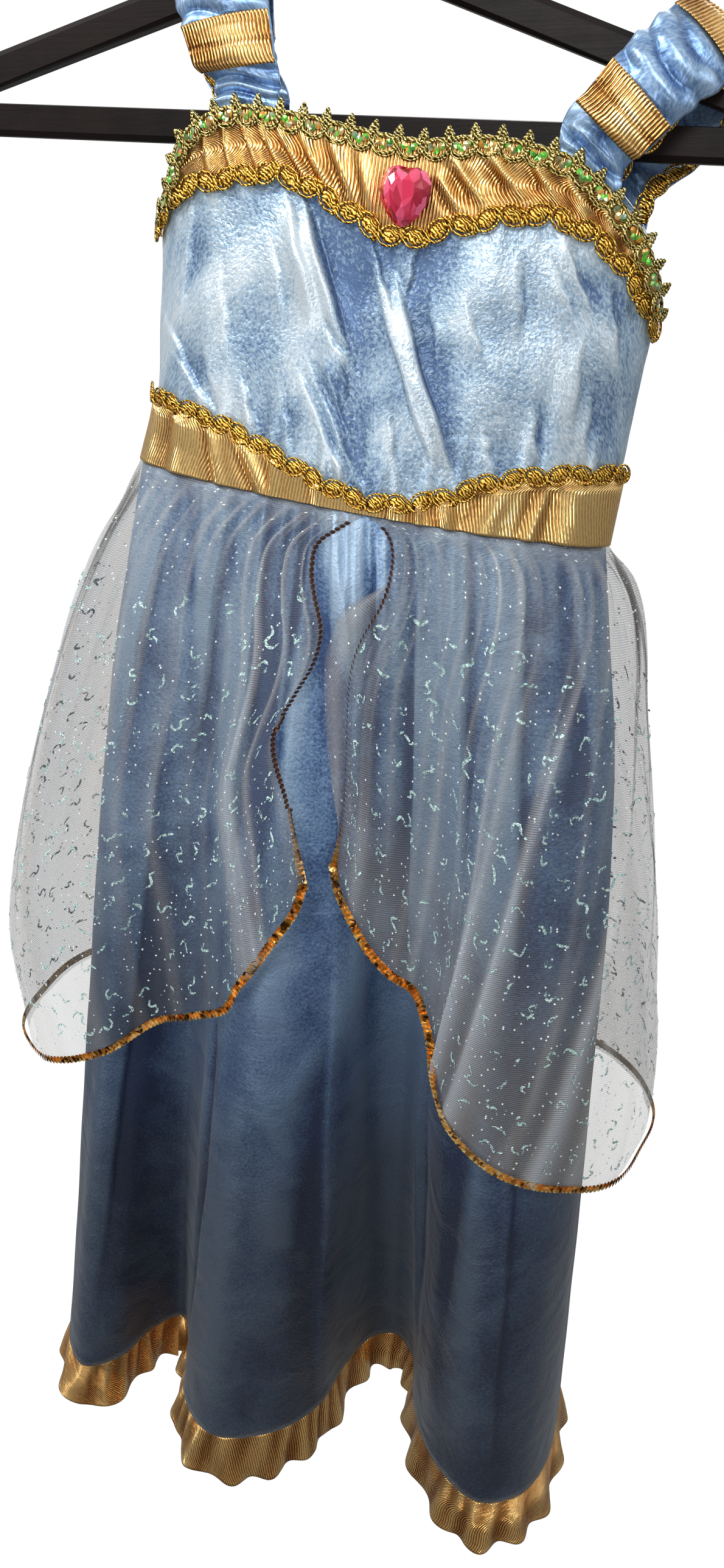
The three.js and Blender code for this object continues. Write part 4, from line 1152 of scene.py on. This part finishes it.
# Painted shade: the colour is multiplied near white at the waist and dark towards the hem, as the
# light falls off below.
shade = ramp(
    shaded_skirt_satin,
    height_share(shaded_skirt_satin, -0.92, -0.32),
    (0.0, (84, 88, 92)),
    (0.35, (84, 90, 100)),
    (0.52, (112, 124, 142)),
    (0.74, (200, 210, 222)),
    (1.0, (250, 252, 255)),
)
feed(shaded_skirt_satin, "Base Color", tinted(shaded_skirt_satin, 1.0, satin_colour, shade, "MULTIPLY"))

BELLS = 3
HEM_STEADY, HEM_DEEP, HEM_STANDS = 25, 6, 0.8  # smooth above the hem, and the turned hem itself
SIDE_TUCK = 0.4  # the front goes so far behind the back's edge at a side seam
# For each side: where its turns start, its columns, how far it laps its neighbour, flat size.
for side, first, columns, lap, flat in (
    ("front", 0, 290, -0.0016, (0.55, 0.6)),
    ("back", 1, 220, 0.0004, (0.5, 0.6)),
):
    k = np.linspace(lap, 1 - lap, columns)[None, :]
    below = np.linspace(SEAM_GAP, SKIRT_LENGTH - SEAM_GAP, 125)[:, None]
    drop = BODICE_LENGTH + below
    turn = first + k
    x, y = skirt(turn, below)
    grid = hang(x, y, drop)
    edge = np.sin(np.pi * np.clip(k, 0, 1)) ** 0.5
    gather = np.exp(-below / 45) * (
        0.9 * np.sin(turn * 190) + 0.6 * np.sin(turn * 311 + 1) + 0.5 * np.sin(turn * 97)
    )
    drift = 1.1 * np.sin(turn * 41 + below / 170) * np.sin(turn * 13 - below / 90)
    crumple = 0.7 * np.sin(turn * 67 + below / 31) * np.sin(below / 23 - turn * 29)
    relief = gather * ease(below / 12) + (drift + crumple) * ease(below / 120)
    if side == "front":
        relief = relief + fold_relief(SKIRT_FOLDS, x, drop, 0.5)
        relief = relief + tuck_relief(SKIRT_TUCKS, x, drop)
        relief = relief + 2 * fold_relief(SKIRT_SHEEN, x, drop)
    relief = relief * edge * ease((SKIRT_LENGTH - below) / HEM_STEADY)
    relief = relief + HEM_STANDS * edge * ease((below - SKIRT_LENGTH + HEM_DEEP) / 3)
    if side == "front":
        relief = relief - SIDE_TUCK * ease(1 - np.minimum(k - lap, 1 - lap - k) / 0.003)
    # Painted shade in the folds' hollows and painted highlight on their ridges, with painted
    # highlight and painted shade in turn across the bells, stronger towards the hem.
    piece = sew(
        f"skirt_{side}_satin",
        stand(grid, relief),
        shaded_skirt_satin,
        "skirt_satin",
        f"skirt_{side}",
        painted_shading=0.54 + relief / 6 + 0.3 * np.cos(2 * np.pi * BELLS * k) * ease(below / 500),
    )

# ---- Hem ruffle ----
# A strip of the lame cut half as long again as the hem, gathered and sewn under its edge.
RUFFLE = {"deep": 32, "high": 6.5, "flare": 5}
# For each side: where its turns start, its columns, its gathers, its lap and its flat size.
for side, first, columns, gathers, lap, flat in (
    ("front", 0, 460, 22, -0.0012, (0.78, 0.034)),
    ("back", 1, 380, 18, 0.0003, (0.62, 0.034)),
):
    k = np.linspace(lap, 1 - lap, columns)[None, :]
    turn = first + k
    v = np.linspace(0, 1, 22)[:, None]
    below = SKIRT_LENGTH + mix(SEAM_GAP, RUFFLE["deep"] + 1.2 * np.sin(turn * 61), v)
    wave = (1 + np.cos(2 * np.pi * gathers * turn + 1.1 * np.sin(np.pi * 9 * turn))) / 2
    crimp = np.sin(2 * np.pi * gathers * 1.9 * turn + 3 * np.sin(turn * 37) + 2.2 * v)
    crimp = crimp + 0.3 * np.sin(turn * 560 + 5 * np.sin(turn * 97)) * np.sin(4 * v + turn * 211)
    crimp = crimp * np.sin(np.pi * np.clip(k, 0, 1)) ** 0.4
    body = np.sin(np.pi * np.clip(v * 0.8 + 0.12, 0, 1))
    out = v * (RUFFLE["flare"] + RUFFLE["high"] * (wave - 0.5)) + 1.3 * crimp * body
    x, y = skirt(turn, below)
    ahead = unit(hem_ring(turn + 1e-3) - hem_ring(turn - 1e-3))
    x = x + ahead[..., 1] * out
    y = y - ahead[..., 0] * out
    # Painted highlight on the crests of the gathers and crimps, painted shade in their troughs.
    ruffle = sew(
        f"hem_ruffle_{side}_lame",
        hang(x, y, BODICE_LENGTH + below),
        gold_lame,
        "gold_lame",
        f"hem_ruffle_{side}",
        painted_shading=0.45 + 0.4 * (wave - 0.5) * v + 0.3 * crimp,
    )

# ---- Petal overskirt ----
# Two petals of sheer organza with a fine cross rib and scattered glitter, gathered into the
# waist seam, parting at centre front and falling to a low corner at each side.
# Their widest line in plan, (x, y), as the hem's.
OVERSKIRT_FRONT = [
    (-203, 0), (-193, -34), (-162, -58), (-122, -62), (-92, -48), (-66, -58), (-28, -70),
    (9, -66), (38, -68), (56, -60), (72, -50), (90, -62), (118, -70), (152, -56), (178, -30),
]  # fmt: skip
OVERSKIRT_BACK = [
    (190, 4), (194, 38), (182, 66), (144, 84), (100, 78), (56, 90), (10, 98), (-36, 96),
    (-76, 82), (-110, 80), (-150, 84), (-184, 66), (-202, 34),
]  # fmt: skip
# Below the waist, how far they have opened out: across on the left and the right, and in depth.
OVERSKIRT_SPREAD = [
    (0, 0, 0, 0), (20, 0.11, 0.2, 0.18), (50, 0.29, 0.33, 0.36), (80, 0.44, 0.41, 0.48),
    (122, 0.61, 0.54, 0.6), (165, 0.76, 0.67, 0.71), (206, 0.88, 0.77, 0.8),
    (251, 0.98, 0.86, 0.9), (290, 1.01, 0.95, 0.96), (330, 0.92, 1, 1), (385, 0.8, 1, 1.04),
]  # fmt: skip
# Edge and hem are (x, drop below the waist) in front, and behind is the same at the back.
PETALS = {
    "left": {
        "edge": [
            (9, 0), (0.7, 6), (-9.5, 14.7), (-11.5, 27), (-9, 38), (-4, 53.5), (-5.6, 69),
            (-14, 88), (-23, 111), (-14, 141), (-8.6, 162), (-2, 188),
        ],
        "hem": [
            (-2, 188), (-5.5, 204), (-16, 225), (-32, 255), (-41, 275), (-59, 287), (-87, 307),
            (-112, 326), (-140, 341), (-168, 350),
        ],
        "behind": [(-172, 349), (-120, 340), (9, 330)],
        "facing": -1,
        "fold_seed": 5,
        "painted_sheen": -0.08,
        "area": 0.19,
    },
    "right": {
        "edge": [
            (11, 0), (18.8, 4.4), (23.5, 11), (24.7, 24.6), (22.2, 38), (14.6, 56), (11.3, 74),
            (13.2, 110), (15, 138), (12.2, 173),
        ],
        "hem": [
            (12.2, 173), (16.3, 187), (23, 198), (34.6, 215.6), (46, 228), (57, 238), (68, 264),
            (76, 298), (88, 315), (101, 323), (133, 334), (150, 340), (171, 346),
        ],
        "behind": [(184, 346), (120, 338), (12, 330)],
        "facing": 1,
        "fold_seed": 12,
        "painted_sheen": 0.25,
        "area": 0.17,
    },
}  # fmt: skip
GATHERS, GATHER_HEIGHT, PETAL_CLEAR = 10, 3.4, 1.5
OVAL = (160, 62)  # half axes of the oval that the gathers stand out from
overskirt_ring = ring(OVERSKIRT_FRONT, OVERSKIRT_BACK)
spread_rows = np.array(OVERSKIRT_SPREAD, float)
spreads = [reading(spread_rows[:, [0, i]]) for i in (1, 2, 3)]


def overskirt(turn, below):
    waist_x, waist_y = bodice(turn, BODICE_LENGTH)
    wide = overskirt_ring(turn)
    rightness = np.clip(0.5 + waist_x / BODICE_HALF / 2, 0, 1)
    out = mix(spreads[0](below), spreads[1](below), rightness)
    return mix(waist_x, wide[..., 0], out), mix(waist_y, wide[..., 1], spreads[2](below))


def turn_at(x, drop, back):
    """The turn at which the overskirt is at a given x."""
    turns = np.linspace(0, 1, 4001) + (1 if back else 0)
    across = overskirt(turns, drop)[0]
    if back:
        across, turns = across[::-1], turns[::-1]
    return np.interp(x, across, turns)


def petal_surface(petal):
    """A petal as a surface of (s, v): s from its front edge round to behind, v from the waist."""
    wrap = (lambda turn: turn - 2 if turn > 1 else turn) if petal["facing"] < 0 else float
    edge = [(drop, wrap(turn_at(x, drop, False))) for x, drop in petal["edge"]]
    edge_turn = reading(edge)
    per_turn = 360  # millimetres that stand for one turn in the hem's line
    rows = [(x, drop, False) for x, drop in petal["hem"]]
    rows += [(x, drop, True) for x, drop in petal["behind"]]
    line, share = through([(wrap(turn_at(*row)) * per_turn, row[1]) for row in rows])
    head = edge[0][1]
    behind = line[-1, 0] / per_turn
    corner_turn, corner_drop = line[0, 0] / per_turn, line[0, 1]

    def surface(s, v):
        at = np.clip(s, 0, 1)
        foot = pick(line, share, at)
        held = np.clip(v, 0, 1)
        straight = mix(mix(head, behind, s), foot[..., 0] / per_turn + s - at, v)
        wander = edge_turn(corner_drop * held) - mix(head, corner_turn, held)
        turn = straight + wander * np.clip(1 - s, 0, 1) ** 4
        below = SEAM_GAP + foot[..., 1] * v
        x, y = overskirt(turn, below)
        gather = (1 - np.cos(2 * np.pi * GATHERS * s)) / 2
        out = GATHER_HEIGHT * gather * ease(v / 0.12) * ease(s / 0.1) * mix(1, 0.45, held)
        out = PETAL_CLEAR + out
        lean = unit(np.stack([x / OVAL[0] ** 2, y / OVAL[1] ** 2], axis=-1))
        return hang(x + lean[..., 0] * out, y + lean[..., 1] * out, BODICE_LENGTH + below)

    return surface


def fallen_folds(s, v, folds):
    """Soft folds, steeper on one side, that start at the waist seam and wander down the petal."""
    stands = np.zeros(np.broadcast(s, v).shape)
    for at, wander, wide, high, ends in folds:
        aside = s - at - wander * v - 0.006 * np.sin(5 * v + 40 * at)
        wide = np.where(aside < 0, 0.55 * wide, 1.5 * wide) * (0.5 + 0.9 * np.clip(v, 0, 1))
        stands += high * np.exp(-((aside / wide) ** 2)) * (1 - ends * ease(v))
    drawn = np.sin(160 * s + 3 * np.sin(23 * s)) + 0.6 * np.sin(250 * s + 2)
    stands += 1.8 * drawn * np.exp(-np.maximum(v, 0) / 0.14) * ease(s / 0.2)
    return (stands - 1.2) * ease(v / 0.05) * ease(s / 0.04)


# How wide and how high a fold is, and how far it dies away down the petal, from and to.
LOW_FOLD = ((0.003, 0.006), (1.0, 2.2), (0.5, 1.0))
DEEP_FOLD = ((0.006, 0.013), (1.2, 2.6), (0.0, 0.5))
FOLD_COUNT, LOW_SHARE, FOLD_SHIFT, FOLD_WANDER = 36, 0.55, (-0.014, 0.014), (-0.03, 0.03)


def folds_of(seed):
    """Where each fold starts, how it wanders, its width, height and how far it dies away."""
    dice = np.random.default_rng(seed)
    folds = []
    for at in np.linspace(0.02, 0.97, FOLD_COUNT):
        kind = LOW_FOLD if dice.random() < LOW_SHARE else DEEP_FOLD
        shift, *values = [dice.uniform(*span) for span in (FOLD_SHIFT, FOLD_WANDER, *kind)]
        folds.append((at + shift, *values))
    return folds


organza = new_finish(
    "glitter organza", Roughness=0.42, Specular_IOR_Level=0.5, Sheen_Weight=0.4,
    Sheen_Roughness=0.35,
)  # fmt: skip
weave, painted_shading = where_on(organza, "UV"), read_painted_shading(organza)
ribs = banding(organza, weave, 260, 0.8, "Y", detail_scale=2.0)
speck, rim = flecks(organza, weave, 330)
near = remap(organza, rim, 1.0, 0.0, 0.12, 0.23)
glitter = worked(organza, "MULTIPLY", near, worked(organza, "GREATER_THAN", speck, 0.66))
# Painted shade in the folds' hollows and painted highlight on their ridges make the organza's
# colour; its veil thickens with them too.
cloth_colour = ramp(
    organza, painted_shading, (0.1, (80, 84, 90)), (0.5, (154, 149, 142)), (1.0, (204, 208, 212))
)
feed(organza, "Base Color", tinted(organza, glitter, cloth_colour, paint(236, 246, 246)))
veil = remap(organza, ribs, 0.12, 0.34)
veil = worked(organza, "MULTIPLY", veil, remap(organza, painted_shading, 0.7, 1.5))
feed(organza, "Alpha", worked(organza, "MAXIMUM", veil, glitter))
bump(organza, ribs, 0.0002, 0.7)

ORGANZA_THICKNESS = 0.3
surfaces = {side: petal_surface(petal) for side, petal in PETALS.items()}
for side, petal in PETALS.items():
    petal["folds"] = folds_of(petal["fold_seed"])
    s = np.linspace(0, 0.998, 220)[None, :]
    v = np.linspace(0, 1, 110)[:, None]
    if petal["facing"] < 0:
        s = s[:, ::-1]
    grid = surfaces[side](s + 0 * v, v + 0 * s)
    relief = fallen_folds(s, v, petal["folds"])
    # Painted shade and painted highlight follow the folds, and the right petal's lower half is
    # painted lighter, the left's a little darker.
    piece = sew(
        f"overlay_{side}_organza",
        stand(grid, relief),
        organza,
        "glitter_organza",
        f"overlay_{side}",
        thickness=ORGANZA_THICKNESS,
        painted_shading=0.4 + relief / 4.5 + petal["painted_sheen"] * ease((v - 0.5) / 0.35),
    )

# ---- Turned edge ----
# For part of its length the right petal's front edge has turned back under itself, and shows
# as a soft strip of the organza beyond the sequins.
TURNED = [(28, 0), (42, 15), (60, 14), (90, 11.5), (130, 8), (157, 0)]  # (below, width)
TURNED_FROM, TURNED_TO = 29, 156  # below the waist seam
foot = PETALS["right"]["edge"][-1][1]
below = np.linspace(TURNED_FROM, TURNED_TO, 90)[:, None]
wide = reading(TURNED)(below)
t = np.linspace(0, 1, 15)[None, :]
at_edge = surfaces["right"](np.zeros_like(below), below / foot)
beyond = surfaces["right"](np.full_like(below, -0.01), below / foot)
per_s = np.linalg.norm(beyond - at_edge, axis=-1) / 0.01
grid = surfaces["right"](-wide * (1 - t) / per_s, below / foot + 0 * t)
relief = 2.4 * np.sin(np.pi * t) - 1.2 * (1 - t) + 0.5 * np.sin(below / 7 + 3 * t) * (1 - t)
# Painted shade on the turned edge, painted lightest along the middle of its roll.
turned_edge = sew(
    "overlay_right_turned_edge",
    stand(grid, relief),
    organza,
    "glitter_organza",
    thickness=ORGANZA_THICKNESS,
    painted_shading=0.3 + 0.25 * np.sin(np.pi * t) + 0 * below,
)

# ---- Glitter scrolls ----
# Mint and silver glitter glued on to the organza through a screen: small curls, commas and
# leaf pairs, scattered so that no two lie the same way.
# Each shape is one stroke of the glue: a curl, a comma, a leaf, a tick and a hook.
SCROLLS = [
    [(-3.6, 0.4), (-1.6, 2.8), (1.2, 1.6), (0.2, -1.2), (3.6, -2.2)],
    [(-5, -1.5), (-2.6, 1.4), (0, 0.4), (2.4, -1.2), (5, 0.8)],
    [(-3, -2), (-1, -0.6), (0.8, 1.2), (1.6, 3.4)],
    [(-2.2, 1.6), (-0.6, -1.4), (1.2, -0.2), (3.2, 2.6)],
    [(-2.6, 3.4), (-0.4, 1), (-1.6, -2), (2.2, -3), (3.8, -0.6)],
]
SCROLL_COUNT, SCROLL_TRIES, SCROLL_APART, SCROLL_STEPS, SCROLL_LIFT = 380, 9000, 11.5, 11, 0.35
glitter_glue = new_finish("mint glitter", Metallic=0.35, Roughness=0.3, Specular_IOR_Level=0.8)
place = where_on(glitter_glue)
tint, rim = flecks(glitter_glue, place, 1400)
mint = ramp(
    glitter_glue, tint, (0.1, (120, 160, 158)), (0.5, (176, 212, 206)), (0.9, (226, 244, 240))
)
feed(glitter_glue, "Base Color", mint)
bump(glitter_glue, rim, 0.0003)
shed = noise(glitter_glue, place, 520, 2, 0.6)
feed(glitter_glue, "Alpha", remap(glitter_glue, shed, 0.0, 1.0, 0.44, 0.5))


def petal_normal(side, s, v):
    """The way out of a petal at a place on it."""
    surface, probe = surfaces[side], 1e-3
    across = surface(s + probe, v) - surface(s - probe, v)
    down = surface(s, v + probe) - surface(s, v - probe)
    return unit(np.cross(down, across)) * PETALS[side]["facing"]


dice = np.random.default_rng(21)
for side, petal in PETALS.items():
    surface = surfaces[side]
    centres, points, faces = [], [], []
    for _ in range(SCROLL_TRIES):
        if len(centres) == SCROLL_COUNT:
            break
        s, v = dice.uniform(0.012, 0.985), dice.uniform(0.1, 0.975) ** 0.75
        here = surface(s, v)
        if centres and min(np.linalg.norm(np.array(centres) - here, axis=1)) < SCROLL_APART:
            continue
        step = 0.004
        per_s = np.linalg.norm(surface(s + step, v) - here) / step
        per_v = np.linalg.norm(surface(s, v - step) - here) / step
        shape = SCROLLS[int(dice.integers(len(SCROLLS)))]
        turned, grow = dice.uniform(0, 2 * math.pi), dice.uniform(0.75, 1.45)
        line = pick(*through(shape), np.linspace(0, 1, SCROLL_STEPS)) * grow
        if dice.random() < 0.5:
            line = line * [1, -1]
        cos, sin = math.cos(turned), math.sin(turned)
        line = line @ np.array([[cos, sin], [-sin, cos]])
        ahead = unit(np.gradient(line, axis=0))
        aside = np.stack([-ahead[:, 1], ahead[:, 0]], axis=-1)
        taper = np.sin(np.pi * np.linspace(0.12, 0.9, SCROLL_STEPS))[:, None]
        fat = 0.25 + 0.6 * taper
        edges = np.stack([line + aside * fat, line - aside * fat], axis=1)
        at_s = s + edges[..., 0] / per_s
        at_v = v + edges[..., 1] / per_v
        if at_s.min() < 0.004 or at_s.max() > 0.994 or at_v.max() > 0.985:
            continue
        centres.append(here)
        lift = fallen_folds(at_s, at_v, petal["folds"]) + SCROLL_LIFT
        spot = surface(at_s, at_v) + petal_normal(side, at_s, at_v) * lift[..., None]
        first = len(points)
        points += (spot.reshape(-1, 3) / 1000).tolist()
        last = len(points) - 2
        faces += [(a, a + 1, a + 3, a + 2) for a in range(first, last, 2)]
    data = bpy.data.meshes.new(f"overlay_{side}_scrolls")
    data.from_pydata(points, [], faces)
    data.shade_smooth()
    shown(data.name, data, glitter_glue, "glitter_organza")

# ---- Sequin edging ----
# Cupped copper sequins on a thread, overlapping like tiles along each petal's free edge.
SEQUIN_PITCH, SEQUIN_LIFT, SEQUIN_INSET = 2.7, 1.5, 0.75
SEQUIN_LEAN, SEQUIN_TIP = math.radians(16), math.radians(58)
SEQUIN_SIZE, SEQUIN_NARROWS = 0.9, 0.38
sequin = dished("sequin", 9, 2.9, 0.7, -0.2)
copper = new_finish(
    "copper sequin", Metallic=0.75, Roughness=0.2, Coat_Weight=0.6, Coat_Roughness=0.08
)
tone, _ = flecks(copper, where_on(copper), 420)
flashes = ramp(
    copper,
    tone,
    (0.1, (84, 50, 20)),
    (0.35, (222, 156, 58)),
    (0.75, (250, 196, 96)),
    (0.95, (255, 232, 160)),
)
# Painted shade: sequins high on the petals' front edges, seen edge-on, are painted dark brown.
painted_shade_up_high = tinted(copper, height_share(copper, -0.5, -0.44), flashes, paint(96, 52, 26))
feed(copper, "Base Color", painted_shade_up_high)
# The edge runs down the petal's front, v from the waist, and then round its foot by s.
down, round_foot = np.linspace(0.02, 1, 160), np.linspace(0, 0.99, 700)[1:]
s, v = np.hstack([0 * down, round_foot]), np.hstack([down, 1 + 0 * round_foot])
inner_s = np.hstack([0.006 + 0 * down, round_foot])
inner_v = np.hstack([down, 0.99 + 0 * round_foot])
for side, petal in PETALS.items():
    line = mix(surfaces[side](s, v), surfaces[side](inner_s, inner_v), SEQUIN_INSET)
    steps = np.linalg.norm(np.diff(line, axis=0), axis=1)
    front_share = steps[: len(down) - 1].sum() / steps.sum()
    normal = petal_normal(side, s, v)
    strung = sewn_places(line + normal * SEQUIN_LIFT, normal, SEQUIN_PITCH)
    places = []
    # The sequins hang edge-on down the front and turn flat to the cloth at the corner.
    for i, place in enumerate(strung):
        edge_on = 1 - ease((i / len(strung) - 0.8 * front_share) / (0.25 * front_share))
        lean = Matrix.Rotation(SEQUIN_LEAN, 4, "Z")
        tipped = Matrix.Rotation(petal["facing"] * SEQUIN_TIP * edge_on, 4, "X")
        size = Matrix.Scale(SEQUIN_SIZE - SEQUIN_NARROWS * edge_on, 4)
        places.append(place @ np.array(tipped @ lean @ size))
    name = f"edging_{side}_sequins"
    row_of(name, sequin, places, copper, "sequin_edging", f"edging_{side}", smooth=False)

# ---- Studio ----
# A pale floor below the hem, and soft lamps by the viewer's shoulder, above, low down, at one
# side and behind.
bpy.ops.mesh.primitive_plane_add(size=14, location=(0, 0, -1.05))
floor = bpy.context.object
floor.name = "floor"
floor_finish = new_finish("pale floor", Roughness=0.9, Emission_Strength=0.84)
floor_surface = floor_finish.node_tree.nodes["Principled BSDF"]
floor_surface.inputs["Base Color"].default_value = paint(130, 130, 130)
floor_surface.inputs["Emission Color"].default_value = paint(255, 255, 255)
floor.data.materials.append(floor_finish)
floor.visible_diffuse = False
floor.visible_glossy = False


def soft_light(name, size, power, where, aim):
    data = bpy.data.lights.new(name, "AREA")
    data.size = size
    data.energy = power
    made = bpy.data.objects.new(name, data)
    made.location = where
    toward = Vector(aim) - made.location
    made.rotation_euler = toward.to_track_quat("-Z", "Y").to_euler()
    bpy.context.collection.objects.link(made)


soft_light("shoulder", 0.3, 2.4, (0.05, -0.75, 0.1), (0, 0, -0.3))
soft_light("above", 0.3, 6.5, (-0.62, -0.5, 0.4), (0, 0, -0.28))
soft_light("low", 0.2, 1.4, (-0.4, -0.8, -0.6), (0, 0, -0.32))
soft_light("side", 0.8, 2.5, (1.1, -0.7, 0.2), (0, 0, -0.4))
soft_light("back", 1.0, 9, (0.3, 1.3, 0.4), (0, 0, -0.4))
world = bpy.context.scene.world or bpy.data.worlds.new("studio")
bpy.context.scene.world = world
world.use_nodes = True
# The room is brighter overhead than underfoot, and plain white where the camera sees it.
sky = world.node_tree.nodes["Background"]
sky.inputs["Color"].default_value = (1, 1, 1, 1)
height = add_node(world, "SeparateXYZ", {0: where_on(world, "Generated")}).outputs["Z"]
overhead = remap(world, height, 0.24, 0.75, -0.5, 0.7, interpolation_type="SMOOTHSTEP")
seen = add_node(world, "LightPath").outputs["Is Camera Ray"]
world.node_tree.links.new(blended(world, seen, overhead, 1.0), sky.inputs["Strength"])
bpy.context.scene.view_settings.view_transform = "Standard"
